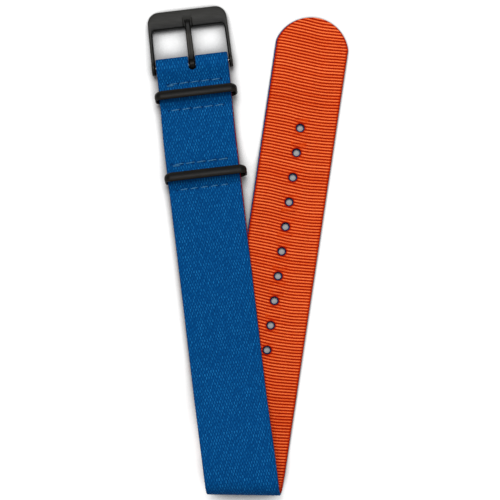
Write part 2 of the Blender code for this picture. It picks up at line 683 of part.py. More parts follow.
def frame_edges():
    """Matching points along the frame's inner and outer edges, for its right half, back to front."""
    end_angle = np.linspace(0, math.pi / 2, ARM_END_STEPS + 1)
    arm_end = -FRAME_END_RADIUS * np.cos(end_angle)
    arm = np.linspace(0, FRAME_WINDOW - FRAME_WINDOW_CORNER, ARM_STEPS + 1)[1:]
    forward = np.concatenate([arm_end, arm])
    share = (forward + FRAME_END_RADIUS) / (FRAME_REACH + FRAME_END_RADIUS)
    outer_x = (FRAME_END_WIDTH + (FRAME_FRONT_WIDTH - FRAME_END_WIDTH) * share) / 2
    inner_x = (FRAME_END_INNER + (FRAME_FRONT_INNER - FRAME_END_INNER) * share) / 2
    inner = list(zip(inner_x, forward))
    outer = list(zip(outer_x, forward))
    corner_x = inner_x[-1] - FRAME_WINDOW_CORNER
    round_x = FRAME_FRONT_WIDTH / 2 - FRAME_CORNER
    round_y = FRAME_REACH - FRAME_CORNER
    for index in range(FRAME_CORNER_STEPS + 1):
        angle = math.pi / 2 * index / FRAME_CORNER_STEPS
        inner.append((corner_x + FRAME_WINDOW_CORNER * math.cos(angle),
                      FRAME_WINDOW - FRAME_WINDOW_CORNER + FRAME_WINDOW_CORNER * math.sin(angle)))
        outer.append((round_x + FRAME_CORNER * math.cos(angle), round_y + FRAME_CORNER * math.sin(angle)))
    del inner[len(forward)]
    del outer[len(forward)]
    for x in (NOTCH_WIDTH / 2 + NOTCH_SLOPE, NOTCH_WIDTH / 2):
        inner.append((x, FRAME_WINDOW))
        outer.append((x, FRAME_REACH))
    return inner, outer


def buckle_frame():
    """The frame: a band between its inner and outer edges, with rounded edges, bored for the tips."""
    inner, outer = frame_edges()
    inner = np.array(inner + [(-x, y) for x, y in reversed(inner)])
    outer = np.array(outer + [(-x, y) for x, y in reversed(outer)])
    middle_forward = (inner[:, 1] + outer[:, 1]) / 2
    half = frame_half_depth(np.where(middle_forward > FRAME_WINDOW, FRAME_WINDOW, middle_forward))
    edge = np.minimum(FRAME_EDGE, half - ARM_TIP_HEIGHT / 4)
    notch = np.where(np.abs(inner[:, 0]) < NOTCH_WIDTH / 2 + NOTCH_SLOPE / 2, NOTCH_DEPTH, 0)
    over = inner - outer
    width = np.linalg.norm(over, axis=1)[:, None]
    inwards = over / width
    trim = np.minimum(FRAME_EDGE, width / 3)
    near_outer = outer + inwards * trim
    near_inner = inner - inwards * trim
    top = half - notch
    notch_end = inner - inwards * np.minimum(NOTCH_LENGTH, width / 2)
    past_notch = inner - inwards * np.minimum(NOTCH_LENGTH + NOTCH_SLOPE, width * NOTCH_PAST_SHARE)
    section = [(outer, -half + edge), (near_outer, -half), (near_inner, -half), (inner, -half + edge),
               (inner, top - edge), (near_inner, top), (notch_end, top), (past_notch, half),
               (near_outer, half), (outer, half - edge)]
    rows = len(inner)
    sides = len(section)
    points = np.zeros((rows, sides, 3))
    for index, (plan, height) in enumerate(section):
        points[:, index, :2] = plan
        points[:, index, 2] = height
    faces = [face[::-1] for face in tube_faces(rows, sides)]
    made = add("buckle_frame", points.reshape(-1, 3), faces, FRAME, metal("buckle_frame", GUNMETAL))
    bore = circle((0, 0), ARM_HOLE, ROUND_SIDES)
    reach = FRAME_END_WIDTH / 2 + CUT_OVERRUN
    cutter = prism("arm_holes_cutter", bore, 0, -reach, reach, FRAME)
    cut(made, cutter)


def tongue():
    """The tongue: a curl round the spring bar, and a shank that rises to lie in the frame's notch."""
    curl = CURL_BORE / 2 + CURL_WALL
    under = FRONT_BAR_DEPTH / 2 - NOTCH_DEPTH + TONGUE_GAP
    top = under + TONGUE_THICKNESS
    climb = math.atan2((under + top) / 2, TONGUE_KNEE)
    leave = math.asin(TONGUE_THICKNESS / 2 / curl)
    tip_low = TONGUE_REACH - TONGUE_TIP_LENGTH
    outline = [(tip_low, under), (TONGUE_KNEE, under)]
    for index in range(CURL_STEPS + 1):
        angle = climb - leave - (2 * math.pi - 2 * leave) * index / CURL_STEPS
        outline.append((curl * math.cos(angle), curl * math.sin(angle)))
    outline.append((TONGUE_KNEE, top))
    rounding = np.linspace(math.pi / 2, 0, ARM_STEPS)
    for angle in rounding:
        outline.append((tip_low + TONGUE_TIP_LENGTH * math.cos(angle),
                        under + TONGUE_THICKNESS * math.sin(angle)))
    outline = np.array(outline)
    share = np.clip(outline[:, 0] / TONGUE_REACH, 0, 1)
    half = (TONGUE_WIDTH + (TONGUE_TIP_WIDTH - TONGUE_WIDTH) * share) / 2
    inwards = outward(np.concatenate([outline, outline[:1]]), 1)[:-1]
    count = len(outline)
    levels = [(-half, TONGUE_EDGE), (-half + TONGUE_EDGE, 0), (half - TONGUE_EDGE, 0), (half, TONGUE_EDGE)]
    points = np.zeros((len(levels), count, 3))
    for index, (x, trim) in enumerate(levels):
        points[index, :, 0] = x
        points[index, :, 1:] = outline + inwards * trim
    faces = [tuple(reversed(range(count))), tuple((len(levels) - 1) * count + i for i in range(count))]
    for level in range(len(levels) - 1):
        for index in range(count):
            follow = (index + 1) % count
            faces.append((level * count + index, level * count + follow,
                          (level + 1) * count + follow, (level + 1) * count + index))
    made = add("buckle_tongue", points.reshape(-1, 3), faces, TONGUE, metal("buckle_tongue", GUNMETAL))
    cutter = prism("tongue_bore_cutter", circle((0, 0), CURL_BORE, ROUND_SIDES), 0,
                   -TONGUE_WIDTH, TONGUE_WIDTH, TONGUE)
    cut(made, cutter)


def centre_on_footprint(root):
    """Move the whole strap so that its origin is the middle of its footprint, on the table."""
    bpy.context.view_layer.update()
    corners = []
    for piece in bpy.context.scene.objects:
        if piece.type in {"MESH", "CURVE"} and not piece.hide_render:
            corners += [piece.matrix_world @ vertex for vertex in outline_points(piece)]
    low = np.min(np.array(corners), axis=0)
    high = np.max(np.array(corners), axis=0)
    root.location = (-(low[0] + high[0]) / 2, -(low[1] + high[1]) / 2, 0)
    bpy.context.view_layer.update()


def outline_points(piece):
    """A piece's own points, or none for the spring, which lies inside its tube."""
    return [vertex.co for vertex in piece.data.vertices] if piece.type == "MESH" else []


for leftover in list(bpy.data.objects):
    bpy.data.objects.remove(leftover)

# The fold opens about two axes, one for each quarter of its bend. As both turn alike, the bend straightens
# at its true length. Half the length of a quarter is how far each axis lies behind the bend's centre, and
# how far below or above it.
STRAP = pivot("strap", None, (0, 0, 0), turn_z=FOLD_AXIS_TURN)
TAIL_HALF = pivot("tail_half", STRAP, (FOLD_SIDESTEP, 0, 0), turn_z=-FOLD_SKEW)
LOWER_HINGE = pivot("strap_fold_lower_axis", STRAP, (0, -FOLD_HINGE_REACH, FOLD_AXIS_Z - FOLD_HINGE_REACH))
FOLD = pivot("strap_fold", LOWER_HINGE, (0, FOLD_HINGE_REACH, FOLD_HINGE_REACH - FOLD_AXIS_Z))
UPPER_HINGE = pivot("strap_fold_upper_axis", FOLD, (0, -FOLD_HINGE_REACH, FOLD_AXIS_Z + FOLD_HINGE_REACH))
upper_place = (-FOLD_SIDESTEP, FOLD_HINGE_REACH, -FOLD_AXIS_Z - FOLD_HINGE_REACH)
BUCKLE_HALF = pivot("buckle_half", UPPER_HINGE, upper_place, turn_z=FOLD_SKEW)
SPRING_BAR = pivot("spring_bar_axis", BUCKLE_HALF, (0, SPRING_BAR_AT, BAR_Z))
FRAME = pivot("buckle_frame_axis", SPRING_BAR, (0, 0, 0), turn_x=-FRAME_DROOP)
TONGUE = pivot("tongue_axis", FRAME, (0, 0, 0))

webbings = strap_plies()
punch_tail(webbings)
pierce_buckle_half(webbings)
for index, ring_at in enumerate(RING_AT):
    ring_name = ("keeper_ring_front", "keeper_ring_rear")[index]
    back_bar = (RING_OFFSET, ring_at, RING_BAR_Z)
    ring_pivot = pivot(ring_name + "_axis", BUCKLE_HALF, back_bar, turn_x=-RING_LEAN)
    keeper_ring(ring_name, ring_pivot)
for number in range(len(ROW_AT)):
    thread_row(f"needle_thread_row_{number + 1}", number, STITCHED_UPPER_MID + FLAT_MID, 1)
    thread_row(f"bobbin_thread_row_{number + 1}", number, STITCHED_LOWER_MID - FLAT_MID, -1)
spring_bar()
buckle_frame()
tongue()
centre_on_footprint(STRAP)
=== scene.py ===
"""The looks of a slip-through watch strap: woven plies, stitching, black buckle, keeper rings, spring bar.

The strap lies folded on a pale floor. Its tail half shows the orange ribbed lining, and its buckle half,
which comes back over it, shows the blue herringbone face. Lengths are in metres.
"""
import json
import math

import bmesh
import bpy
import numpy as np
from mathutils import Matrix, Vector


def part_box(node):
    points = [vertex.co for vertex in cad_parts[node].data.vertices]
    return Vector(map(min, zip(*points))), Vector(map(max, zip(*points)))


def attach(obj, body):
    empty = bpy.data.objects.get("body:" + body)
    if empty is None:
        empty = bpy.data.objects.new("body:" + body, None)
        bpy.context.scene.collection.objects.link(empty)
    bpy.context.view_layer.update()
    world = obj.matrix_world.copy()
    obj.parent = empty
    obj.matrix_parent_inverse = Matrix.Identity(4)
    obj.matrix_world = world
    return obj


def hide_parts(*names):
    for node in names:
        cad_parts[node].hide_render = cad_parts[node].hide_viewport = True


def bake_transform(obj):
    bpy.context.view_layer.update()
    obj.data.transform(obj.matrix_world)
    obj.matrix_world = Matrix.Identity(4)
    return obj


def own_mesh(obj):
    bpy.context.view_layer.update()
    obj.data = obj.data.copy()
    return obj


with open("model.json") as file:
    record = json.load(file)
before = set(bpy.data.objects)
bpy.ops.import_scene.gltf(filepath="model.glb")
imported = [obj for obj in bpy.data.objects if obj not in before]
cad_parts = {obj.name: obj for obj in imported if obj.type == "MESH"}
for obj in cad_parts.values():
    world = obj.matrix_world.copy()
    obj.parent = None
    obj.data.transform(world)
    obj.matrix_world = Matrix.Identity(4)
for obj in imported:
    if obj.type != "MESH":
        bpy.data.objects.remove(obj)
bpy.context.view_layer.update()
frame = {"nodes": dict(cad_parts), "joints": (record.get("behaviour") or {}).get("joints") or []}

# The camera stands straight above the strap, at the distance at which a hand-sized thing is photographed.
# The picture is square, and VIEW_SPAN of the floor fills it.
MM = 0.001
CAMERA_HEIGHT = 450 * MM
VIEW_CENTRE = (0.528 * MM, -0.023 * MM)
VIEW_SPAN = 139.66 * MM
SENSOR = 36.0
camera = bpy.data.objects.new("camera", bpy.data.cameras.new("camera"))
camera.location = (*VIEW_CENTRE, CAMERA_HEIGHT)
camera.data.sensor_width = SENSOR
camera.data.lens = SENSOR * CAMERA_HEIGHT / VIEW_SPAN
bpy.context.scene.collection.objects.link(camera)
bpy.context.scene.camera = camera
bpy.context.scene.view_settings.view_transform = "Standard"


# The studio: a pale floor, one broad soft lamp beyond the buckle, a weaker one on the near side, and an even
# white sky. The floor shows white where nothing shades it, and keeps the strap's soft shadow, partly real and
# partly painted shade from ambient occlusion.
FLOOR_HALF = 900 * MM
FLOOR_DROP = 0.05 * MM
FLOOR_COLOUR = (0.60, 0.60, 0.60)
FLOOR_GLOW = 0.55
SHADE_REACH = 11 * MM
PAINTED_SHADE_OPENNESS = (0.1, 0.85)
DARKEST_PAINTED_SHADE = 0.45
GLOW_OPENNESS = (0.54, 0.80)
SKY_STRENGTH = 0.32
LAMPS = (
    ("key_lamp", (-40 * MM, 220 * MM, 520 * MM), 220 * MM, 2.3),
    ("fill_lamp", (160 * MM, -260 * MM, 420 * MM), 320 * MM, 0.35),
)


def add_node(tree, kind, inputs=(), **settings):
    """Add a shader node. Each input is a value, or the socket that feeds it."""
    made = tree.nodes.new("ShaderNode" + kind)
    for name, value in settings.items():
        setattr(made, name, value)
    for name, value in dict(inputs).items():
        if isinstance(value, bpy.types.NodeSocket):
            tree.links.new(value, made.inputs[name])
        else:
            made.inputs[name].default_value = value
    return made


def worked_out(tree, operation, *values):
    """The result of one calculation on values or sockets."""
    return add_node(tree, "Math", enumerate(values), operation=operation).outputs[0]


def mapped(tree, value, source, target=(0, 1), smooth=False):
    """Where a value lies in the source range, carried over to the target range and held at its ends."""
    shape = "SMOOTHSTEP" if smooth else "LINEAR"
    ranges = {"From Min": source[0], "From Max": source[1], "To Min": target[0], "To Max": target[1]}
    return add_node(tree, "MapRange", {"Value": value, **ranges}, interpolation_type=shape).outputs[0]


def scaled(tree, colour, amount):
    """A colour made lighter or darker by a factor."""
    return add_node(tree, "VectorMath", {0: colour, "Scale": amount}, operation="SCALE").outputs[0]


def floor_material():
    """Matt paper with painted shade near the strap. Seen where nothing stands near it, it also glows white.
    """
    made = bpy.data.materials.new("floor_paper")
    made.use_nodes = True
    tree = made.node_tree
    tree.nodes.clear()
    path = add_node(tree, "LightPath").outputs
    direct = worked_out(tree, "MAXIMUM", path["Is Camera Ray"], path["Is Glossy Ray"])
    seen = worked_out(tree, "MAXIMUM", direct, path["Is Transmission Ray"])
    openness = add_node(tree, "AmbientOcclusion", {"Distance": SHADE_REACH}).outputs["AO"]
    # Painted shade: ambient occlusion near the strap darkens the paper's colour and, below, fades its white
    # glow.
    tone = mapped(tree, openness, PAINTED_SHADE_OPENNESS, (DARKEST_PAINTED_SHADE, 1))
    paper = add_node(tree, "BsdfDiffuse", {"Color": scaled(tree, FLOOR_COLOUR, tone)})
    bare = mapped(tree, openness, GLOW_OPENNESS, smooth=True)
    strength = worked_out(tree, "MULTIPLY", seen, worked_out(tree, "MULTIPLY", bare, FLOOR_GLOW))
    glow = add_node(tree, "Emission", {"Color": (1, 1, 1, 1), "Strength": strength})
    both = add_node(tree, "AddShader", {0: paper.outputs[0], 1: glow.outputs[0]})
    add_node(tree, "OutputMaterial", {"Surface": both.outputs[0]})
    return made


floor_corners = [(x * FLOOR_HALF, y * FLOOR_HALF, -FLOOR_DROP)
                 for x, y in ((-1, -1), (1, -1), (1, 1), (-1, 1))]
floor_mesh = bpy.data.meshes.new("floor")
floor_mesh.from_pydata(floor_corners, [], [(0, 1, 2, 3)])
floor_mesh.materials.append(floor_material())
floor = bpy.data.objects.new("floor", floor_mesh)
bpy.context.scene.collection.objects.link(floor)

for lamp_name, place, size, power in LAMPS:
    light = bpy.data.lights.new(lamp_name, "AREA")
    light.size = size
    light.energy = power
    lamp = bpy.data.objects.new(lamp_name, light)
    lamp.location = place
    lamp.rotation_mode = "QUATERNION"
    lamp.rotation_quaternion = lamp.location.to_track_quat("Z", "Y")
    bpy.context.scene.collection.objects.link(lamp)

sky = bpy.data.worlds.new("studio")
sky.use_nodes = True
sky.node_tree.nodes.clear()
sky_seen = add_node(sky.node_tree, "LightPath").outputs["Is Camera Ray"]
sky_extra = worked_out(sky.node_tree, "MULTIPLY", sky_seen, 1 - SKY_STRENGTH)
sky_level = worked_out(sky.node_tree, "ADD", sky_extra, SKY_STRENGTH)
sky_shader = add_node(sky.node_tree, "Background", {"Color": (1, 1, 1, 1), "Strength": sky_level})
add_node(sky.node_tree, "OutputWorld", {"Surface": sky_shader.outputs[0]})
bpy.context.scene.world = sky


# The strap is 20 mm webbing, blue face and orange lining bonded back to back. Each half is straight and has
# its own coordinates, across and along from the fold; the two halves leave the fold at the same slant.
joints = {joint["name"]: joint for joint in frame["joints"]}
WEB_HALF = 10.0 * MM
STRAP_HALF = 0.65 * MM
BOND_HALF = 0.03 * MM
PLY_OFFSET = 0.12 * MM
EDGE_ROUND = 0.25 * MM
CLOTH_SHARP = 62
CLOSING_SHARES = np.array([0.2, 0.4, 0.57, 0.71, 0.82, 0.9, 0.96, 1.0])

lower_hinge = np.array(joints["strap_fold_lower"]["pos_m"])
upper_hinge = np.array(joints["strap_fold_upper"]["pos_m"])
fold_across = np.array(joints["strap_fold_lower"]["axis"][:2])
bar_place = np.array(joints["buckle_frame_swing"]["pos_m"])
bar_across = np.array(joints["buckle_frame_swing"]["axis"][:2])
hinge_reach = (upper_hinge[2] - lower_hinge[2]) / 2
fold_z = (upper_hinge[2] + lower_hinge[2]) / 2
fold_radius = 4 * hinge_reach / math.pi


def quarter_turn(direction):
    """A level direction turned a quarter to the left."""
    return np.array([-direction[1], direction[0]])


def placed(origin, across, points):
    """Points given across, along and up, set down at origin with their across direction along across."""
    level = points[..., :1] * across + points[..., 1:2] * quarter_turn(across) + origin
    return np.concatenate([level, points[..., 2:]], axis=-1)


fold_skew = math.atan2(bar_across[1], bar_across[0]) - math.atan2(fold_across[1], fold_across[0])
slope = math.tan(fold_skew)
tail_turn = math.atan2(fold_across[1], fold_across[0]) - fold_skew
tail_across = np.array([math.cos(tail_turn), math.sin(tail_turn)])
sidestep = math.pi * fold_radius * slope / 2
fold_place = lower_hinge[:2] + hinge_reach * quarter_turn(fold_across)
tail_place = fold_place + sidestep * fold_across
buckle_place = fold_place - sidestep * fold_across
bar_along = float((bar_place[:2] - buckle_place) @ quarter_turn(bar_across))
fold_length = math.pi * fold_radius / math.cos(fold_skew)


def add_piece(name, points, faces, sharp_degrees, attributes=()):
    """A smooth-shaded mesh object with named values on its points."""
    mesh = bpy.data.meshes.new(name)
    mesh.from_pydata(points, [], faces)
    for key, values in dict(attributes).items():
        kind, slot = ("FLOAT_VECTOR", "vector") if values.ndim == 2 else ("FLOAT", "value")
        mesh.attributes.new(key, kind, "POINT").data.foreach_set(slot, values.astype(np.float32).ravel())
    mesh.shade_smooth()
    mesh.set_sharp_from_angle(angle=math.radians(sharp_degrees))
    made = bpy.data.objects.new(name, mesh)
    bpy.context.scene.collection.objects.link(made)
    return made


def ply(name, across, along, step, surface, gap=None, holes=(), flip=False):
    """One ply as a closed body: a fine outer sheet, an inner sheet with every step-th row of it, and walls.

    surface(x, r, outer) gives the points, the weave coordinates and the crown of the weave, for places
    across x and row places r. gap is a block of cells that is left out, as first and last inner row and
    first and last column. Each hole is a centre, a radius and such a block, which is filled by rings that
    close in from the block's edge to the circle.
    """
    rows = len(along)
    columns = len(across)
    fine = np.arange(rows * columns).reshape(rows, columns)
    inner_rows = np.arange(0, rows, step)
    inner = fine.size + np.arange(len(inner_rows) * columns).reshape(-1, columns)
    keep_fine = np.ones((rows - 1, columns - 1), bool)
    keep_inner = np.ones((len(inner_rows) - 1, columns - 1), bool)
    for first, last, left, right in [block for *_, block in holes] + ([gap] if gap else []):
        keep_fine[first * step:last * step, left:right] = False
        keep_inner[first:last, left:right] = False
    cells = np.stack([fine[:-1, :-1], fine[:-1, 1:], fine[1:, 1:], fine[1:, :-1]], axis=-1)
    under = np.stack([inner[:-1, :-1], inner[1:, :-1], inner[1:, 1:], inner[:-1, 1:]], axis=-1)
    faces = cells[keep_fine].tolist() + under[keep_inner].tolist()
    x_all = [np.tile(across, rows), np.tile(across, len(inner_rows))]
    r_all = [np.repeat(along, columns), np.repeat(along[inner_rows], columns)]
    outer_all = [np.ones(fine.size, bool), np.zeros(inner.size, bool)]

    def side_wall(column, first, last, turn):
        for i in range(first, last):
            wall = fine[i * step:(i + 1) * step + 1, column].tolist()
            wall += [inner[i + 1, column], inner[i, column]]
            faces.append(wall[::turn])

    def end_wall(i, left, right, turn):
        for c in range(left, right):
            wall = [fine[i * step, c], inner[i, c], inner[i, c + 1], fine[i * step, c + 1]]
            faces.append(wall[::turn])

    last_row = len(inner_rows) - 1
    for turn, (first, last, left, right) in ((1, (0, last_row, 0, columns - 1)), (-1, gap or (0, 0, 0, 0))):
        side_wall(left, first, last, turn)
        side_wall(right, first, last, -turn)
        end_wall(first, left, right, turn)
        end_wall(last, left, right, -turn)

    used = fine.size + inner.size
    for centre_x, centre_r, radius, (first, last, left, right) in holes:
        low = first * step
        high = last * step
        loop = [(low, c) for c in range(left, right)] + [(r, right) for r in range(low, high)]
        loop += [(high, c) for c in range(right, left, -1)] + [(r, left) for r in range(high, low, -1)]
        loop = np.array(loop)
        count = len(loop)
        out_x = across[loop[:, 1]] - centre_x
        out_r = along[loop[:, 0]] - centre_r
        reach = np.hypot(out_x, out_r)
        ring_reach = radius + (reach - radius) * (1 - CLOSING_SHARES[:, None])
        ring_x = centre_x + out_x / reach * ring_reach
        ring_r = centre_r + out_r / reach * ring_reach
        rings = used + np.arange(ring_x.size).reshape(ring_x.shape)
        bottom = used + ring_x.size + np.arange(count)
        used += ring_x.size + count
        x_all += [ring_x.ravel(), ring_x[-1]]
        r_all += [ring_r.ravel(), ring_r[-1]]
        outer_all += [np.ones(ring_x.size, bool), np.zeros(count, bool)]
        stack = np.concatenate([fine[loop[:, 0], loop[:, 1]][None], rings, bottom[None]])
        ahead = np.roll(stack, -1, axis=1)
        faces += np.stack([stack[:-1], ahead[:-1], ahead[1:], stack[1:]], axis=-1).reshape(-1, 4).tolist()
        stops = [n for n in range(count) if loop[n, 0] % step == 0] + [count]
        for start, stop in zip(stops[:-1], stops[1:]):
            circle = [bottom[n % count] for n in range(start, stop + 1)]
            edge = [inner[loop[n % count, 0] // step, loop[n % count, 1]] for n in (stop, start)]
            faces.append(circle + edge)

    points, weave, crown = surface(np.concatenate(x_all), np.concatenate(r_all), np.concatenate(outer_all))
    kept = np.zeros(len(points), bool)
    kept[np.concatenate([np.array(face) for face in faces])] = True
    number = np.cumsum(kept) - 1
    faces = [number[face].tolist() for face in faces]
    made = add_piece(name, points[kept], faces, CLOTH_SHARP, {"weave": weave[kept], "crown": crown[kept]})
    if flip:
        made.data.flip_normals()
    return made


# The lining is orange grosgrain: thick weft cords lie side by side across the strap, and the fine warp that
# covers them makes rounded ribs, bowed a little towards the fold by the loom's beat.
RIB_PITCH = 0.852 * MM
RIB_DEPTH = 0.17 * MM
RIB_ROWS = 6
RIB_CHANCE = 0.03
RIB_BOW = 0.345 * MM
RIB_BOW_CENTRE = -2.3 * MM
RIB_BOW_SPAN = 11.5 * MM
RIB_WANDER = 0.03 * MM
RIB_WANDER_ACROSS = 7.3 * MM
RIB_WANDER_ALONG = 31 * MM
LINING_COLUMN = 0.5 * MM
rib_chance = np.random.default_rng(7).normal(0, 1, 512)


def ribs(x, v):
    """The crown of the ribs: a parabola over each cord, whose line bows as a sine across the strap."""
    bow = RIB_BOW * np.sin(math.pi * (x - RIB_BOW_CENTRE) / RIB_BOW_SPAN)
    wander = RIB_WANDER * np.sin(2 * math.pi * (x / RIB_WANDER_ACROSS + v / RIB_WANDER_ALONG))
    place = (v + bow + wander) / RIB_PITCH
    share = place - np.floor(place)
    chance = rib_chance[np.floor(place).astype(int) % len(rib_chance)]
    return (1 - (2 * share - 1) ** 2) * (1 + RIB_CHANCE * chance), np.cos(2 * math.pi * (share - 0.5))


# The face is blue nylon in herringbone: warp floats lie as short upright strokes in a checker, and twill
# lines cross them, which turn from one column of the herringbone to the next.
STROKE_ACROSS = 0.72 * MM
STROKE_ALONG = 1.75 * MM
TWILL_ACROSS = 1.67 * MM
TWILL_ALONG = 1.25 * MM
STEEP_ACROSS = 1.5 * MM
STEEP_ALONG = 2.7 * MM
COLUMN_TURNS = (-4.6 * MM, -0.6 * MM, 5.2 * MM)
COLUMN_SOFTNESS = 0.35 * MM
BORDER_FROM = 7.9 * MM
BORDER_BLEND = 0.6 * MM
BORDER_LINE = 0.8 * MM
BORDER_SLANT = math.radians(14)
WEAVE_DEPTH = 0.11 * MM
STRAY_LONG = 0.10
STRAY_LONG_ALONG = 9.1 * MM
STRAY_SHORT = 0.07
STRAY_SHORT_ALONG = 4.3 * MM
STRAY_SHORT_ACROSS = 6 * MM
FALLING_SHARE = 0.8
STEEP_SHARE = 0.6
STROKES_IN_CROWN = 0.6
CROWN_SWING = 0.4
STROKE_STRAY = 0.3
STROKE_SHARE = 0.58
CROWN_SHARE = 0.38
FIBRE_SHARE = 0.36
FACE_COLUMN = 0.215 * MM
FACE_ROW = 0.225 * MM


def ease(share):
    """A smooth step from 0 to 1."""
    return 0.5 - 0.5 * np.cos(np.pi * np.clip(share, 0, 1))


def herringbone(x, v):
    """The crown of the blue weave, a sum of cosines: the strokes, the turning twill and the edge's lines."""
    turn = 2 * math.pi
    stray = STRAY_LONG * np.sin(turn * v / STRAY_LONG_ALONG)
    stray += STRAY_SHORT * np.sin(turn * (v / STRAY_SHORT_ALONG + x / STRAY_SHORT_ACROSS))
    strokes = np.cos(turn * (x / STROKE_ACROSS + stray)) * np.cos(turn * v / STROKE_ALONG)
    way = np.ones_like(x)
    for place in COLUMN_TURNS:
        way = way * -np.tanh((x - place) / COLUMN_SOFTNESS)
    rising = np.cos(turn * (x / TWILL_ACROSS + v / TWILL_ALONG + stray))
    falling = np.cos(turn * (-x / TWILL_ACROSS + v / TWILL_ALONG + stray))
    steep = np.cos(turn * (x / STEEP_ACROSS + v / STEEP_ALONG))
    twill = np.where(way > 0, rising, FALLING_SHARE * falling + STEEP_SHARE * steep) * np.abs(way)
    border_phase = (x * math.cos(BORDER_SLANT) + v * math.sin(BORDER_SLANT)) / BORDER_LINE
    inside = STROKES_IN_CROWN * strokes + (1 - STROKES_IN_CROWN) * twill
    edge = STROKES_IN_CROWN * np.cos(turn * border_phase) + (1 - STROKES_IN_CROWN) * strokes
    crown = 0.5 + CROWN_SWING * (inside + (edge - inside) * ease((x - BORDER_FROM) / BORDER_BLEND))
    return crown, np.cos(turn * v / (STROKE_ALONG / 2))


# Both cloths are painted by the level of the weave at each point, from its valleys to its crowns, so that
# painted shade darkens the valleys and painted highlight lightens the crowns. The level picks a colour
# between a few stops, and broad patches make it a little lighter or darker.
NOISE_RANGE = (0.3, 0.7)
PATCH_TONES = (0.97, 1.03)
FIBRE_LIFT = 0.12
LEVEL_SPAN = 0.85
STROKE_SIDES = (0.3, 0.95)
STROKE_ENDS = (0.08, 0.55)
STROKE_STRENGTHS = (0.2, 1.0)
LINING_STOPS = (
    (0.0, (0.012, 0.004, 0.003)), (0.04, (0.19, 0.002, 0.0)), (0.235, (0.20, 0.002, 0.0)),
    (0.617, (0.41, 0.014, 0.0)), (0.847, (0.72, 0.066, 0.002)), (1.0, (1.0, 0.215, 0.060)),
)
FACE_STOPS = (
    (0.0, (0.003, 0.006, 0.015)), (0.12, (0.0, 0.022, 0.10)), (0.48, (0.0, 0.063, 0.222)),
    (0.95, (0.010, 0.172, 0.44)),
)


def new_material(name, gloss, roughness=0.5):
    """A new material, with its node tree and its surface shader."""
    made = bpy.data.materials.new(name)
    made.use_nodes = True
    shader = made.node_tree.nodes["Principled BSDF"]
    shader.inputs["Specular IOR Level"].default_value = gloss
    shader.inputs["Roughness"].default_value = roughness
    return made, made.node_tree, shader


def on_point(tree, name, output="Fac"):
    """A value that the mesh carries on its points."""
    return add_node(tree, "Attribute", attribute_name=name).outputs[output]


def noise(tree, place, scale, detail, stretch=None, output="Fac"):
    """Cloudy noise at a place, which is first scaled by stretch in each direction."""
    if stretch:
        place = add_node(tree, "Mapping", {"Vector": place, "Scale": stretch}).outputs[0]
    return add_node(tree, "TexNoise", {"Vector": place, "Scale": scale, "Detail": detail}).outputs[output]


def coloured(tree, level, stops):
    """The colour at a level, between stops that are each a level and a colour."""
    made = add_node(tree, "ValToRGB", {"Fac": level})
    elements = made.color_ramp.elements
    elements[0].position = stops[0][0]
    elements[1].position = stops[-1][0]
    for place, _ in stops[1:-1]:
        elements.new(place)
    for element, (_, colour) in zip(elements, stops):
        element.color = (*colour, 1)
    return made.outputs["Color"]


def painted(tree, shader, level, stops, patches):
    """Colour the shader by a level, with a tone that drifts from patch to patch."""
    tone = mapped(tree, patches, NOISE_RANGE, PATCH_TONES)
    tree.links.new(scaled(tree, coloured(tree, level, stops), tone), shader.inputs["Base Color"])


def raised(tree, shader, height, strength, distance):
    """Show a height as relief too fine to model: at full strength, 1 stands out by the distance."""
    bump = add_node(tree, "Bump", {"Height": height, "Strength": strength, "Distance": distance})
    tree.links.new(bump.outputs[0], shader.inputs["Normal"])


def lining_material():
    """Orange nylon: deep red with painted shade between the ribs and bright with painted highlight on them,
    with the fine warp across each rib.

    The level is the crown, lifted or lowered by the single fibres, and pressed into its upper LEVEL_SPAN.
    """
    made, tree, shader = new_material("orange_grosgrain", gloss=0.06, roughness=0.75)
    weave = on_point(tree, "weave", "Vector")
    warp = add_node(tree, "TexWave", {"Vector": weave, "Scale": 0.95, "Distortion": 1.2, "Detail": 2.0,
                                      "Detail Scale": 1.5}, bands_direction="X").outputs["Fac"]
    fibre = noise(tree, weave, scale=2.4, detail=5.0, stretch=(6.0, 1.3, 1.0))
    lift = mapped(tree, fibre, NOISE_RANGE, (-FIBRE_LIFT, FIBRE_LIFT))
    lifted = worked_out(tree, "ADD", on_point(tree, "crown"), lift)
    level = worked_out(tree, "MULTIPLY_ADD", lifted, LEVEL_SPAN, 1 - LEVEL_SPAN)
    painted(tree, shader, level, LINING_STOPS, noise(tree, weave, scale=0.11, detail=2.0))
    raised(tree, shader, worked_out(tree, "ADD", warp, fibre), strength=0.55, distance=0.03 * MM)
    return made


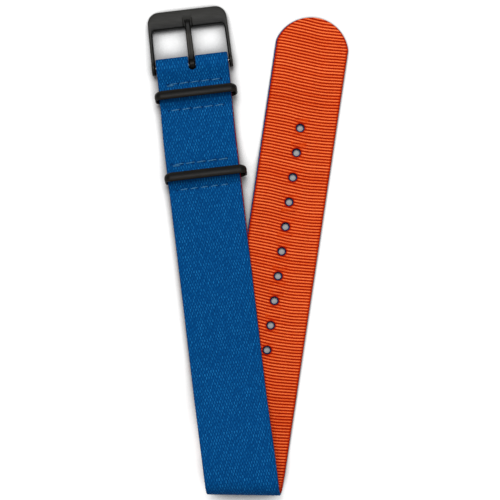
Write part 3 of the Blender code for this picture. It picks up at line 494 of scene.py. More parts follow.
def face_material():
    """Blue nylon: each warp float is a pale upright stroke of painted highlight, with painted shade in the
    gaps, half its length out of step with its neighbours.

    A stroke is where the cosine across times the cosine along is high. Each has its own brightness, and the
    crown of the weave and the single fibres are added to it.
    """
    made, tree, shader = new_material("blue_herringbone", gloss=0.04, roughness=0.8)
    weave = on_point(tree, "weave", "Vector")
    drift = noise(tree, weave, scale=2.2, detail=2.0, output="Color")
    strayed = add_node(tree, "VectorMath", {0: drift, 1: (STROKE_STRAY,) * 3, 2: weave},
                       operation="MULTIPLY_ADD")
    place = add_node(tree, "SeparateXYZ", {0: strayed.outputs[0]}).outputs
    waves = []
    cells = []
    for axis, period in (("X", STROKE_ACROSS / MM), ("Y", STROKE_ALONG / MM)):
        turned = worked_out(tree, "MULTIPLY", place[axis], 2 * math.pi / period)
        waves.append(worked_out(tree, "COSINE", turned))
        counted = worked_out(tree, "MULTIPLY_ADD", place[axis], 2 / period, 0.5)
        cells.append(worked_out(tree, "FLOOR", counted))
    checker = worked_out(tree, "MULTIPLY", waves[0], worked_out(tree, "SIGN", waves[1]))
    beside = mapped(tree, checker, STROKE_SIDES, smooth=True)
    along_it = mapped(tree, worked_out(tree, "ABSOLUTE", waves[1]), STROKE_ENDS, smooth=True)
    floats = worked_out(tree, "MULTIPLY", beside, along_it)
    cell = add_node(tree, "CombineXYZ", {0: cells[0], 1: cells[1]}).outputs[0]
    chance = add_node(tree, "TexWhiteNoise", {"Vector": cell}, noise_dimensions="2D").outputs["Value"]
    strokes = worked_out(tree, "MULTIPLY", floats, mapped(tree, chance, (0, 1), STROKE_STRENGTHS))
    fibre = noise(tree, weave, scale=1.6, detail=5.0, stretch=(4.0, 1.4, 1.0))
    ground = worked_out(tree, "MULTIPLY", on_point(tree, "crown"), CROWN_SHARE)
    stroked = worked_out(tree, "MULTIPLY_ADD", strokes, STROKE_SHARE, ground)
    level = worked_out(tree, "MULTIPLY_ADD", fibre, FIBRE_SHARE, stroked)
    painted(tree, shader, level, FACE_STOPS, noise(tree, weave, scale=0.16, detail=3.0))
    raised(tree, shader, level, strength=0.6, distance=0.05 * MM)
    return made


ORANGE_GROSGRAIN = lining_material()
BLUE_HERRINGBONE = face_material()

# A ply's cross-section: the weave stands out from the bond between the plies, fades towards the webbing's
# rounded edges, and makes them finely scalloped.
EDGE_COLUMNS = np.array([0.62, 0.32, 0.1, 0.0])
EDGE_FADE = 0.45 * MM
EDGE_RELIEF = 0.35
EDGE_SHADED_CROWN = 0.55
INNER_SHADED_CROWN = 0.12
SCALLOP = 0.05 * MM
SCALLOP_REACH = 0.5 * MM


def columns_of(spacing):
    """Places across a ply: even ones, and a few close together over each rounded edge."""
    count = round(2 * (WEB_HALF - EDGE_ROUND) / spacing / 2) * 2
    inside = np.linspace(-WEB_HALF + EDGE_ROUND, WEB_HALF - EDGE_ROUND, count + 1)
    rounding = WEB_HALF - EDGE_ROUND * EDGE_COLUMNS
    return np.concatenate([-rounding[::-1], inside, rounding])


def edge_drop(distance, radius):
    """How far a rounded edge lies below its flat, at a distance in from the edge."""
    inside = np.clip(1 - distance / radius, 0, 1)
    return radius * (1 - np.sqrt(1 - inside ** 2))


def dressed(kind, x, v, outer, edge):
    """A ply's distance from the strap's middle, its crown, and how far its sides are scalloped.

    edge is how far each point lies in from the nearest edge.
    """
    pattern, depth = (ribs, RIB_DEPTH) if kind == "lining" else (herringbone, WEAVE_DEPTH)
    crown, wave = pattern(x, v)
    fade = ease(edge / EDGE_FADE)
    crown = 0.5 + (crown - 0.5) * (EDGE_RELIEF + (1 - EDGE_RELIEF) * fade)
    distance = np.where(outer, STRAP_HALF - depth * (1 - crown) - edge_drop(edge, EDGE_ROUND), BOND_HALF)
    # Painted shade: the crown, which sets the colour, is lowered towards the rounded edges, and the inner
    # sheet, seen in holes and walls, gets a dark crown.
    crown = np.where(outer, crown * (EDGE_SHADED_CROWN + (1 - EDGE_SHADED_CROWN) * fade), INNER_SHADED_CROWN)
    side = np.sign(x) * SCALLOP * wave * ease(1 - (WEB_HALF - np.abs(x)) / SCALLOP_REACH)
    return distance, crown, side


def points_of(*coordinates):
    """Points from their coordinates, each an array or a number that fits the others."""
    return np.stack(np.broadcast_arrays(*coordinates), axis=-1)


def weave_coordinates(x, v):
    """Where a point lies on the flat webbing, in millimetres."""
    return points_of(x / MM, v / MM, 0)


def finish_ply(piece, kind, *stretches):
    """Give a ply its cloth, and let it stand for its CAD nodes."""
    piece.data.materials.append(ORANGE_GROSGRAIN if kind == "lining" else BLUE_HERRINGBONE)
    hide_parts(*[f"{kind}_webbing_{stretch}" for stretch in stretches])


# The tail half lies flat on the table, lining up. Its tip is cut round and its edge melted shut, and ten
# round holes for the tongue are burnt through both plies, with a low hard rim. Painted shade darkens a ring
# round each hole, and the burnt edge is darkened partly by melting and partly by painted shade.
TAIL_LENGTH = 129.0 * MM
TIP_RADIUS = 10.4 * MM
TIP_END = 0.05 * MM
HOLE_RADIUS = {"lining": 1.12 * MM, "face": 0.88 * MM}
HOLE_ACROSS = {"lining": 0.0, "face": 1.9 * PLY_OFFSET}
HOLE_PITCH = 6.95 * MM
FIRST_HOLE = 35.4 * MM
HOLE_COUNT = 10
HOLE_BLOCK = 2.1 * MM
HOLE_RIM = 0.35 * MM
RIM_ROUND = 0.12 * MM
RIM_SUNK = 0.02 * MM
RIM_SPREAD = 1.4
RIM_SHADE = 0.6
BURNT_AND_SHADE_WIDTH = {"lining": 0.12 * MM, "face": 0.26 * MM}
BURNT_AND_SHADE_DARK = 0.3
UNDER_STEP = 4
UNDER_COARSER = 1.5
hole_places = FIRST_HOLE + HOLE_PITCH * np.arange(HOLE_COUNT)


def bell(distance, width):
    """1 at no distance, fading to 0 over a few widths."""
    return np.exp(-(distance / width) ** 2)


def tail_surface(kind):
    """The tail half's surface for one ply, as a function of place across and row."""
    side_of = -1 if kind == "face" else 1

    def surface(x, r, outer):
        tip = np.sqrt(np.maximum(TIP_RADIUS ** 2 - (r - TAIL_LENGTH + TIP_RADIUS) ** 2, 0))
        narrow = np.where(r > TAIL_LENGTH - TIP_RADIUS, np.minimum(tip / WEB_HALF, 1), 1)
        x = x * narrow
        offset = PLY_OFFSET * side_of
        v = r + (1 - ease(r / FIRST_HOLE)) * (x + offset) * slope
        from_hole = np.min(np.hypot(x[:, None] - HOLE_ACROSS[kind], r[:, None] - hole_places), axis=1)
        beside = from_hole - HOLE_RADIUS[kind]
        edge = np.minimum((WEB_HALF - np.abs(x / narrow)) * narrow, TAIL_LENGTH - r + EDGE_ROUND)
        distance, crown, scallop = dressed(kind, x, v, outer, edge)
        rim = bell(beside, HOLE_RIM)
        flat = STRAP_HALF - RIM_SUNK - edge_drop(beside, RIM_ROUND)
        distance = np.where(outer, distance + (flat - distance) * ease(rim * RIM_SPREAD), distance)
        burnt_and_shaded = bell(beside, BURNT_AND_SHADE_WIDTH[kind])
        # Painted shade: a ring round each hole is darkened, and the burnt edge partly so too, besides its
        # melted colour.
        crown = crown * (1 - RIM_SHADE * rim) * (1 - burnt_and_shaded) - BURNT_AND_SHADE_DARK * burnt_and_shaded
        local = points_of(x + offset + scallop * narrow, v, STRAP_HALF + side_of * distance)
        return placed(tail_place, tail_across, local), weave_coordinates(x, v), crown

    return surface


def hole_blocks(kind, across, along, step):
    """The block of cells round each hole, as inner rows and columns."""
    left = int(np.searchsorted(across, -HOLE_BLOCK))
    right = int(np.searchsorted(across, HOLE_BLOCK))
    found = []
    for place in hole_places:
        first = int(np.searchsorted(along, place - HOLE_BLOCK)) // step
        last = -(-int(np.searchsorted(along, place + HOLE_BLOCK)) // step)
        found.append((HOLE_ACROSS[kind], place, HOLE_RADIUS[kind], (first, last, left, right)))
    return found


lining_across = columns_of(LINING_COLUMN)
for kind, across, row, step in (("lining", lining_across, RIB_PITCH / RIB_ROWS, RIB_ROWS),
                                ("face", columns_of(UNDER_COARSER * FACE_COLUMN), UNDER_COARSER * FACE_ROW,
                                 UNDER_STEP)):
    along = np.linspace(0, TAIL_LENGTH - TIP_END, round(TAIL_LENGTH / row / step) * step + 1)
    piece = ply(kind + "_tail_half", across, along, step, tail_surface(kind),
                holes=hole_blocks(kind, across, along, step), flip=kind == "face")
    finish_ply(piece, kind, "tail_half")
    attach(piece, "tail_half")


# The fold is the strap's own springy bend between the halves. Each quarter of it turns between the half that
# it joins and the middle of the bend.
FOLD_STEP = 4
OFFSET_AT_FOLD = 0.4


def fold_surface(kind):
    """The bend's surface for one ply. A row is an angle, from the tail half at 0 to the buckle half at pi."""
    sign = 1 if kind == "face" else -1

    def surface(x, angle, outer):
        v = -fold_length * angle / math.pi + x * slope
        aside = -PLY_OFFSET * sign * (1 - (1 - OFFSET_AT_FOLD) * ease(angle / math.pi))
        distance, crown, scallop = dressed(kind, x, v, outer, WEB_HALF - np.abs(x))
        radius = fold_radius + sign * distance
        across = (x + aside + scallop) / math.cos(fold_skew) + sidestep * (1 - 2 * angle / math.pi)
        local = points_of(across, -np.sin(angle) * radius, fold_z - np.cos(angle) * radius)
        return placed(fold_place, fold_across, local), weave_coordinates(x, v), crown

    return surface


for kind, across, row in (("lining", lining_across, RIB_PITCH / RIB_ROWS),
                          ("face", columns_of(FACE_COLUMN), FACE_ROW)):
    count = round(fold_length / 2 / row / FOLD_STEP) * FOLD_STEP
    for part, start in (("lower", 0.0), ("upper", math.pi / 2)):
        angles = np.linspace(start, start + math.pi / 2, count + 1)
        piece = ply(f"{kind}_fold_{part}", across, angles, FOLD_STEP, fold_surface(kind),
                    flip=kind == "lining")
        finish_ply(piece, kind, "fold")
        if part == "lower":
            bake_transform(piece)
        else:
            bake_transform(piece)


# The buckle half comes down from the fold, runs over the back bars of the two rings, loops round the spring
# bar and is tucked back under itself. Its cut end is melted. The loop has a slot for the tongue.
RAMP_LENGTH = 36.0 * MM
SHEAR_LENGTH = 22.0 * MM
TUCK_END = 78.3 * MM
ROW_AT = (110.3 * MM, 103.1 * MM, 88.1 * MM, 81.0 * MM)
UPPER_MID = 2.7 * MM
LOWER_MID = 1.1 * MM
BUMP_REACH = 2.4 * MM
RING_BAR = 1.4 * MM
RING_CLEARANCE = 0.25 * MM
BOW = 0.4 * MM
BOW_FROM = 28.7 * MM
BOW_TO = 91.7 * MM
SLOT_HALF = {"face": 0.97 * MM, "lining": 1.15 * MM}
SLOT_BACK = {"face": 1.6 * MM, "lining": 1.85 * MM}
SLOT_ROUND = 0.3 * MM
SLOT_CURVE = 0.5 * MM
SLOT_CURVE_REACH = 1.3 * MM
SLOT_CURVE_SIDE = 1.0 * MM
SLOT_ROW = 0.1 * MM
CUT_ROW = 0.08 * MM
OFFSET_GROWS_FROM = 55.0 * MM
OFFSET_GROWS_OVER = 20.0 * MM
OFFSET_FADE_FROM = 90.0 * MM
OFFSET_KEPT = 0.1
FACE_STEP = 4
PATH_STEP = 0.05 * MM
LOOP_POINTS = 121
HAIR = 0.01 * MM
ring_names = ("keeper_ring_front", "keeper_ring_rear")
ring_bars = [np.array(joints[name + "_rock"]["pos_m"]) for name in ring_names]
ring_along = [float((bar[:2] - buckle_place) @ quarter_turn(bar_across)) for bar in ring_bars]
bump_mid = ring_bars[0][2] + RING_BAR / 2 + RING_CLEARANCE + STRAP_HALF
loop_radius = bar_place[2] - STRAP_HALF


def unit(vectors):
    """The vectors' directions, each of length 1."""
    return vectors / np.linalg.norm(vectors, axis=-1, keepdims=True)


def lengths_along(line):
    """How far along a line of points each of them lies."""
    return np.concatenate([[0], np.cumsum(np.linalg.norm(np.diff(line, axis=0), axis=1))])


def with_bumps(height, y, rise):
    """A height that rises smoothly over each ring's back bar."""
    for place in ring_along:
        height = height + rise * (1 - ease(abs(y - place) / BUMP_REACH))
    return height


def upper_height(y):
    """The middle surface above the table, between the fold and the loop."""
    fold_top = fold_z + fold_radius
    height = UPPER_MID + (fold_top - UPPER_MID) * (1 - ease(y / RAMP_LENGTH))
    rise = ease((y - ROW_AT[0]) / (bar_along - ROW_AT[0]))
    return with_bumps(height, y, bump_mid - UPPER_MID) + (bar_place[2] + loop_radius - UPPER_MID) * rise


def lower_height(y):
    """The tuck's middle surface above the table, between the loop and its cut end."""
    fall = STRAP_HALF - LOWER_MID
    return with_bumps(LOWER_MID, y, fall) + fall * ease((y - ROW_AT[0]) / (bar_along - ROW_AT[0]))


path_y = np.arange(0, bar_along, PATH_STEP)
path_upper = points_of(path_y, upper_height(path_y))
loop_turn = np.linspace(math.pi / 2, -math.pi / 2, LOOP_POINTS)
path_loop = points_of(bar_along + loop_radius * np.cos(loop_turn),
                      bar_place[2] + loop_radius * np.sin(loop_turn))
path_y = np.arange(bar_along - PATH_STEP, TUCK_END, -PATH_STEP)
path = np.concatenate([path_upper, path_loop, points_of(path_y, lower_height(path_y))])
path_run = unit(np.gradient(path, axis=0))
path_at = lengths_along(path)
loop_starts = path_at[len(path_upper)]
loop_ends = path_at[len(path_upper) + LOOP_POINTS - 1]
path_ends = path_at[-1]

# The stitches pull the webbing in: a shallow groove along each row, deeper at every needle hole, where
# painted shade makes it darker.
ROW_HALF = (7.45 * MM, 7.65 * MM, 7.65 * MM, 7.05 * MM)
ROW_SHIFT = (0.05 * MM, -0.05 * MM, -0.75 * MM, -0.75 * MM)
STITCHES = 5
NEEDLE_DIP = 0.22 * MM
GROOVE_SHARE = 0.3
GROOVE_WIDTH = 0.5 * MM
GROOVE_END = 0.6 * MM
DIMPLE_WIDTH = 0.4 * MM
PIT_WIDTH = 0.4 * MM
PIT_SHADE = 0.35
DROP_SHADE = 0.5
needle_places = [np.linspace(shift - half, shift + half, STITCHES + 1)
                 for shift, half in zip(ROW_SHIFT, ROW_HALF)]


def at_needles(x, y, row, width):
    """1 in the middle of each needle hole of a row, fading over a width."""
    return np.max(bell(np.hypot(x[:, None] - needle_places[row], (y - ROW_AT[row])[:, None]), width), axis=1)


def stitch_dimples(x, y):
    """How deep the stitches pull the webbing in."""
    depth = np.zeros_like(x)
    for row, (place, half, shift) in enumerate(zip(ROW_AT, ROW_HALF, ROW_SHIFT)):
        groove = bell(y - place, GROOVE_WIDTH) * ease(0.5 + (half - np.abs(x - shift)) / GROOVE_END)
        dimples = at_needles(x, y, row, DIMPLE_WIDTH)
        depth += NEEDLE_DIP * (GROOVE_SHARE * groove + (1 - GROOVE_SHARE) * dimples)
    return depth


def needle_pit_shade(x, y):
    """How much painted shade darkens the webbing where a needle went through: 1 in the middle of each needle
    hole.
    """
    return np.minimum(sum(at_needles(x, y, row, PIT_WIDTH) for row in range(len(ROW_AT))), 1)


def buckle_surface(kind):
    """The buckle half's surface for one ply, as a function of place across and distance along the path."""
    sign = 1 if kind == "face" else -1
    slot_starts = loop_starts - SLOT_BACK[kind]
    slot_half = SLOT_HALF[kind]

    def surface(x, s, outer):
        beside_slot = np.where(np.abs(x) < slot_half, (x / slot_half) ** 2,
                               1 - ease((np.abs(x) - slot_half) / SLOT_CURVE_SIDE))
        s = s + SLOT_CURVE * beside_slot * (1 - ease(np.abs(s - slot_starts) / SLOT_CURVE_REACH))
        y, z = (np.interp(s, path_at, path[:, axis]) for axis in (0, 1))
        run_y, run_z = (np.interp(s, path_at, path_run[:, axis]) for axis in (0, 1))
        fade = ease((y - OFFSET_FADE_FROM) / (bar_along - OFFSET_FADE_FROM))
        grown = OFFSET_AT_FOLD + (1 - OFFSET_AT_FOLD) * ease((y - OFFSET_GROWS_FROM) / OFFSET_GROWS_OVER)
        offset = -PLY_OFFSET * sign * grown * (1 - (1 - OFFSET_KEPT) * fade)
        slant = np.where(s < loop_starts, 1 - ease((y - RAMP_LENGTH) / SHEAR_LENGTH), 0)
        shift = -slant * (x + offset) * slope
        v = -fold_length - s - shift
        before_slot = slot_starts + SLOT_CURVE * beside_slot - s
        from_slot = np.maximum(before_slot, np.maximum(s - loop_ends, np.abs(x) - slot_half))
        edge = np.minimum(WEB_HALF - np.abs(x), path_ends - s)
        distance, crown, scallop = dressed(kind, x, v, outer, edge)
        drop = edge_drop(np.maximum(from_slot, 0), SLOT_ROUND) + stitch_dimples(x, y) * (kind == "face")
        distance = np.where(outer, distance - drop, distance)
        bow = BOW * ease(y / BOW_FROM) * (1 - ease((y - BOW_TO) / (bar_along - BOW_TO)))
        local = points_of(x + offset + scallop - bow, y - run_z * sign * distance + shift,
                          z + run_y * sign * distance)
        # Painted shade: the cloth darkens where the surface drops into the slot's rounding and the stitch
        # dimples, and most in each needle hole.
        pit_shade = needle_pit_shade(x, y) * (kind == "face") * (s < loop_starts)
        crown = crown * (1 - DROP_SHADE * drop / SLOT_ROUND) * (1 - pit_shade) - PIT_SHADE * pit_shade
        return placed(buckle_place, bar_across, local), weave_coordinates(x, v), crown

    return surface


def rows_between(places, spacings, step):
    """Row places that fall exactly on each given place, with a whole number of steps between two of them."""
    rows = [np.array([places[0]])]
    for start, end, spacing in zip(places[:-1], places[1:], spacings):
        count = max(1, round((end - start) / spacing / step)) * step
        rows.append(np.linspace(start, end, count + 1)[1:])
    return np.concatenate(rows)


def with_slot_edges(across, slot_half):
    """The same columns, with the ones nearest to the slot's sides moved onto them and close beside them."""
    extra = slot_half + SLOT_ROUND * np.array([0.0, 0.12, 0.4, 1.0])
    far = across[np.abs(across) > extra[-1] + SLOT_ROW]
    inside = np.linspace(-slot_half, slot_half, 9)[1:-1]
    return np.sort(np.concatenate([far, extra, -extra, inside]))


for kind, spacing, row, step in (("lining", LINING_COLUMN, RIB_PITCH / RIB_ROWS, RIB_ROWS),
                                 ("face", FACE_COLUMN, FACE_ROW, FACE_STEP)):
    slot_half = SLOT_HALF[kind]
    slot_starts = loop_starts - SLOT_BACK[kind]
    across = with_slot_edges(columns_of(spacing), slot_half)
    row_places = [0.0, slot_starts - 2 * SLOT_ROUND, slot_starts, loop_ends, path_ends - 2 * EDGE_ROUND,
                  path_ends]
    along = rows_between(row_places, [row, SLOT_ROW, SLOT_ROW, row, CUT_ROW], step)
    first, last = (int(round(np.searchsorted(along, end - HAIR) / step)) for end in (slot_starts, loop_ends))
    left, right = (int(np.searchsorted(across, end - HAIR)) for end in (-slot_half, slot_half))
    piece = ply(kind + "_buckle_half", across, along, step, buckle_surface(kind),
                gap=(first, last, left, right), flip=kind == "lining")
    finish_ply(piece, kind, "ramp", "buckle_half", "loop", "tuck")
    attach(piece, "buckle_half")


# Four rows of lockstitch hold the tuck: a needle thread above and a bobbin thread below, each two-ply
# polyester that plunges at every needle hole. The first row and the third start with a short back-tack.
THREAD_RADIUS = 0.155 * MM
THREAD_LOBE = 0.16
ROW_LIFT = (0.08 * MM, -0.02 * MM, 0.08 * MM, 0.0)
THREAD_PLUNGE = 0.75 * MM
PLUNGE_WIDTH = 0.42 * MM
STITCH_SLANT = 0.12 * MM
THREAD_TWIST = 0.9 * MM
THREAD_STEP = 0.05 * MM
THREAD_SIDES = 12
SMOOTH_SHARP = 40
THREAD_STOPS = ((0.3, (0.015, 0.115, 0.27)), (0.7, (0.08, 0.25, 0.43)))


def swept(name, rings, closed=False, sharp_degrees=SMOOTH_SHARP, attributes=()):
    """A skin over rings of points, one after another. It closes on itself, or has a flat cap at each end."""
    rows, sides = rings.shape[:2]
    index = np.arange(rows * sides).reshape(rows, sides)
    ahead = np.roll(index, -1, axis=0)
    quads = np.stack([index, ahead, np.roll(ahead, -1, axis=1), np.roll(index, -1, axis=1)], axis=-1)
    faces = quads[:rows if closed else -1].reshape(-1, 4).tolist()
    if not closed:
        faces += [index[0].tolist(), index[-1, ::-1].tolist()]
    return add_piece(name, rings.reshape(-1, 3), faces, sharp_degrees, attributes)


def thread_rings(line):
    """A two-ply thread along a line of points: two lobes that turn round each other once a twist."""
    run = unit(np.gradient(line, axis=0))
    beside = unit(points_of(-run[:, 1], run[:, 0], 0))
    over = np.cross(run, beside)
    turn = 2 * math.pi * np.arange(THREAD_SIDES) / THREAD_SIDES
    twist = 2 * math.pi * lengths_along(line)[:, None] / THREAD_TWIST
    radius = THREAD_RADIUS * (1 - THREAD_LOBE + THREAD_LOBE * np.cos(2 * turn - twist))
    turned = over[:, None] * np.cos(turn)[None, :, None] + beside[:, None] * np.sin(turn)[None, :, None]
    return placed(buckle_place, bar_across, line[:, None] + radius[:, :, None] * turned)


def thread_material():
    """Pale blue polyester, mottled by its fibres."""
    made, tree, shader = new_material("pale_blue_thread", gloss=0.15, roughness=0.6)
    place = add_node(tree, "TexCoord").outputs["Object"]
    fibre = noise(tree, place, scale=5200.0, detail=4.0)
    tree.links.new(coloured(tree, fibre, THREAD_STOPS), shader.inputs["Base Color"])
    raised(tree, shader, fibre, strength=0.4, distance=0.02 * MM)
    return made


THREAD = thread_material()


def finish_thread(piece, node=None):
    """Set a thread on the buckle half, and let it stand for its CAD node if it has one."""
    piece.data.materials.append(THREAD)
    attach(piece, "buckle_half")
    if node:
        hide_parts(node)


for row, (y, needles, lift) in enumerate(zip(ROW_AT, needle_places, ROW_LIFT)):
    x = np.arange(needles[0], needles[-1], THREAD_STEP)
    plunge = np.max(bell(x[:, None] - needles, PLUNGE_WIDTH), axis=1)
    share = (x - needles[0]) / (needles[1] - needles[0]) % 1
    across_row = y + STITCH_SLANT * (2 * share - 1) * (1 - plunge)
    top = UPPER_MID + STRAP_HALF - GROOVE_SHARE * NEEDLE_DIP + lift - THREAD_PLUNGE * plunge
    under = LOWER_MID - STRAP_HALF - lift + THREAD_PLUNGE * plunge
    for name, height in (("needle_thread", top), ("bobbin_thread", under)):
        rings = thread_rings(points_of(x, across_row, height))
        finish_thread(swept(f"{name}_{row + 1}", rings), f"{name}_row_{row + 1}")

TACKED_ROWS = (0, 2)
TACK_LENGTH = 2.2 * MM
TACK_HALF = 0.2 * MM
TACK_STRAIGHT = 0.7
TACK_SUNK = 0.05 * MM
TACK_POINTS = 90
for row in TACKED_ROWS:
    share = np.linspace(0, 1, TACK_POINTS)
    bend = math.pi * np.clip((share - TACK_STRAIGHT) / (1 - TACK_STRAIGHT), 0, 1)
    straight = np.clip(share / TACK_STRAIGHT, 0, 1)
    tack_x = needle_places[row][0] + TACK_LENGTH * (1 - straight) - TACK_HALF * np.sin(bend)
    tack_y = ROW_AT[row] - TACK_HALF * (1 + np.cos(bend))
    ends = bell(np.minimum(share, 1 - share) * TACK_LENGTH, PLUNGE_WIDTH)
    tack_top = UPPER_MID + STRAP_HALF + ROW_LIFT[row] - TACK_SUNK - THREAD_PLUNGE * ends
    finish_thread(swept(f"back_tack_{row + 1}", thread_rings(points_of(tack_x, tack_y, tack_top))))


# The buckle frame, the tongue and the rings are stamped and bent steel with a satin black coating, worn thin
# and a little lighter along the edges. Painted shade darkens the frame's inner edges and the tongue's ends
# and sides, and a painted highlight lightens the tongue's shank along its rounded edges.
SATIN_ROUGHNESS = (0.38, 0.48)
RUBBED_STRETCH = (300.0, 5200.0, 5200.0)


def black_metal(name, ground, worn_and_lit, gloss):
    """Satin black coating with fine rubbed lines. Worn edges and painted highlights are lighter, and painted
    shade is darker.
    """
    made, tree, shader = new_material(name, gloss)
    place = add_node(tree, "TexCoord").outputs["Object"]
    rubbed = noise(tree, place, scale=1.0, detail=3.0, stretch=RUBBED_STRETCH)
    wear_and_highlight = worked_out(tree, "MULTIPLY", on_point(tree, "edge"), noise(tree, place, scale=260.0, detail=4.0))
    colours = {"Factor": wear_and_highlight, 6: (*ground, 1), 7: (*worn_and_lit, 1)}
    tint = add_node(tree, "Mix", colours, data_type="RGBA").outputs[2]
    unshaded = worked_out(tree, "SUBTRACT", 1.0, on_point(tree, "painted_shade"))
    tree.links.new(scaled(tree, tint, unshaded), shader.inputs["Base Color"])
    tree.links.new(mapped(tree, rubbed, NOISE_RANGE, SATIN_ROUGHNESS), shader.inputs["Roughness"])
    raised(tree, shader, rubbed, strength=0.05, distance=0.01 * MM)
    return made


BUCKLE_METAL = black_metal("satin_black_buckle", ground=(0.016, 0.0155, 0.0135),
                           worn_and_lit=(0.042, 0.039, 0.034), gloss=0.10)
RING_METAL = black_metal("satin_black_ring", ground=(0.0045, 0.0042, 0.004),
                         worn_and_lit=(0.022, 0.018, 0.014), gloss=0.085)


# Each keeper ring is a closed band: broad and flat at the front bar, round at the back bar, which lies in
# its sewn tunnel so that the ring can rock.
RING_INNER_HALF = 10.75 * MM
RING_SIDE = 0.7 * MM
RING_BAND = 2.6 * MM
RING_FRONT = 1.15 * MM
RING_INNER_HEIGHT = 3.4 * MM
RING_CORNER = 1.5 * MM
RING_LEAN = math.radians(18)
RING_NARROWING = 2.2 * MM
RING_LEG_SHARE = 0.8
RING_CORNER_STEPS = 14
RING_SIDES = 28


def leaned(points, place, lean):
    """Points given across, along and up from a bar, leaned about it and set on the buckle half."""
    y = points[..., 1] * math.cos(lean) + points[..., 2] * math.sin(lean)
    z = points[..., 2] * math.cos(lean) - points[..., 1] * math.sin(lean)
    return placed(place[:2], bar_across, points_of(points[..., 0], y, z + place[2]))


def ring_rings():
    """An oval section carried round a rounded oblong. It narrows to a round bar at the back corners."""
    half_width = RING_INNER_HALF + RING_SIDE / 2
    front = RING_BAR / 2 + RING_INNER_HEIGHT + RING_FRONT / 2
    turn = np.linspace(0, math.pi / 2, RING_CORNER_STEPS + 1)
    corners = [(1, 0.0, -math.pi / 2), (1, front, 0.0), (-1, front, math.pi / 2), (-1, 0.0, math.pi)]
    stretches = []
    for side, height, start in corners:
        centre = (side * (half_width - RING_CORNER), height + (RING_CORNER if height == 0 else -RING_CORNER))
        stretches.append(points_of(centre[0] + RING_CORNER * np.cos(start + turn),
                                   centre[1] + RING_CORNER * np.sin(start + turn)))
    line = np.concatenate(stretches)
    run = unit(np.roll(line, -1, axis=0) - np.roll(line, 1, axis=0))
    normal = points_of(run[:, 1], -run[:, 0])
    band = (RING_BAR + (RING_BAND - RING_BAR) * ease(line[:, 1] / RING_NARROWING)) / 2
    band *= 1 - (1 - RING_LEG_SHARE) * ease(np.abs(normal[:, 0]))
    bar_wall = np.where(line[:, 1] < front / 2, RING_BAR, RING_FRONT)
    wall = (RING_SIDE + (bar_wall - RING_SIDE) * np.abs(normal[:, 1])) / 2
    around = 2 * math.pi * (np.arange(RING_SIDES) + 0.5) / RING_SIDES
    out = wall[:, None] * np.cos(around)
    edge = np.tile(np.abs(np.sin(2 * around)) ** 3, (len(line), 1))
    points = points_of(line[:, :1] + normal[:, :1] * out, band[:, None] * np.sin(around),
                       line[:, 1:] + normal[:, 1:] * out)
    return points[:, ::-1], edge[:, ::-1].ravel()


rings, edge = ring_rings()
for name, place in zip(ring_names, ring_bars):
    piece = swept(name.replace("keeper_ring", "ring"), leaned(rings, place, RING_LEAN), closed=True,
                  attributes={"edge": edge})
    piece.data.materials.append(RING_METAL)
    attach(piece, name)
    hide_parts(name)


# The buckle frame is a flat band bent to a rounded oblong, with a broad front bar, a shallow notch for the
# tongue, and a boss with a hole at each arm's end for the spring bar's tip.
FRAME_END_HALF = 11.3 * MM
FRAME_FRONT_HALF = 11.0 * MM
ARM_WALL = 1.0 * MM
FRAME_END_RADIUS = 1.9 * MM
FRAME_WINDOW = 10.45 * MM
FRAME_REACH = 15.5 * MM
FRAME_CORNER = 3.1 * MM
WINDOW_CORNER = 0.9 * MM
ARM_DEPTH = 2.6 * MM
FRONT_DEPTH = 2.0 * MM
ARM_BLEND = 6.0 * MM
LEAST_BOSS = 0.25 * MM
FRAME_EDGE = 0.3 * MM
FRAME_INNER_EDGE = 0.42 * MM
FRAME_CORNER_STEPS = 24
END_POINTS = 14
ARM_STEPS = 40
FRONT_FROM = 6.5 * MM
FRONT_POINTS = 8
NOTCH_SIDE_FROM = 0.83
NOTCH_SIDE_POINTS = 6
NOTCH_FLOOR = (0.9 * MM, 0.1 * MM)
NOTCH_FLOOR_POINTS = 3
NOTCH_HALF = 1.05 * MM
NOTCH_SLOPE = 0.4 * MM
NOTCH_DEPTH = 0.35 * MM
NOTCH_SHOWN = 0.14 * MM
NOTCH_LENGTH = 2.4 * MM
NOTCH_SHARE = 0.5
NOTCH_PAST_SHARE = 0.64
EDGE_OF_HALF = 0.8
EDGE_OF_SPAN = 1 / 3
INNER_EDGE_SHADE = 0.9
ARM_HOLE = 1.2 * MM
DRILL_SIDES = 40
DRILL_PAST = 1.0 * MM
EDGE_STEPS = 5
METAL_SHARP = 50
edge_reach = FRAME_REACH - FRAME_EDGE
frame_droop = math.asin(bar_place[2] / math.hypot(edge_reach, FRONT_DEPTH / 2))
frame_droop -= math.atan2(FRONT_DEPTH / 2, edge_reach)


def on_frame(points):
    """Points given across, forward and up from the spring bar, on the frame as it droops to the table."""
    return leaned(points, bar_place, frame_droop)


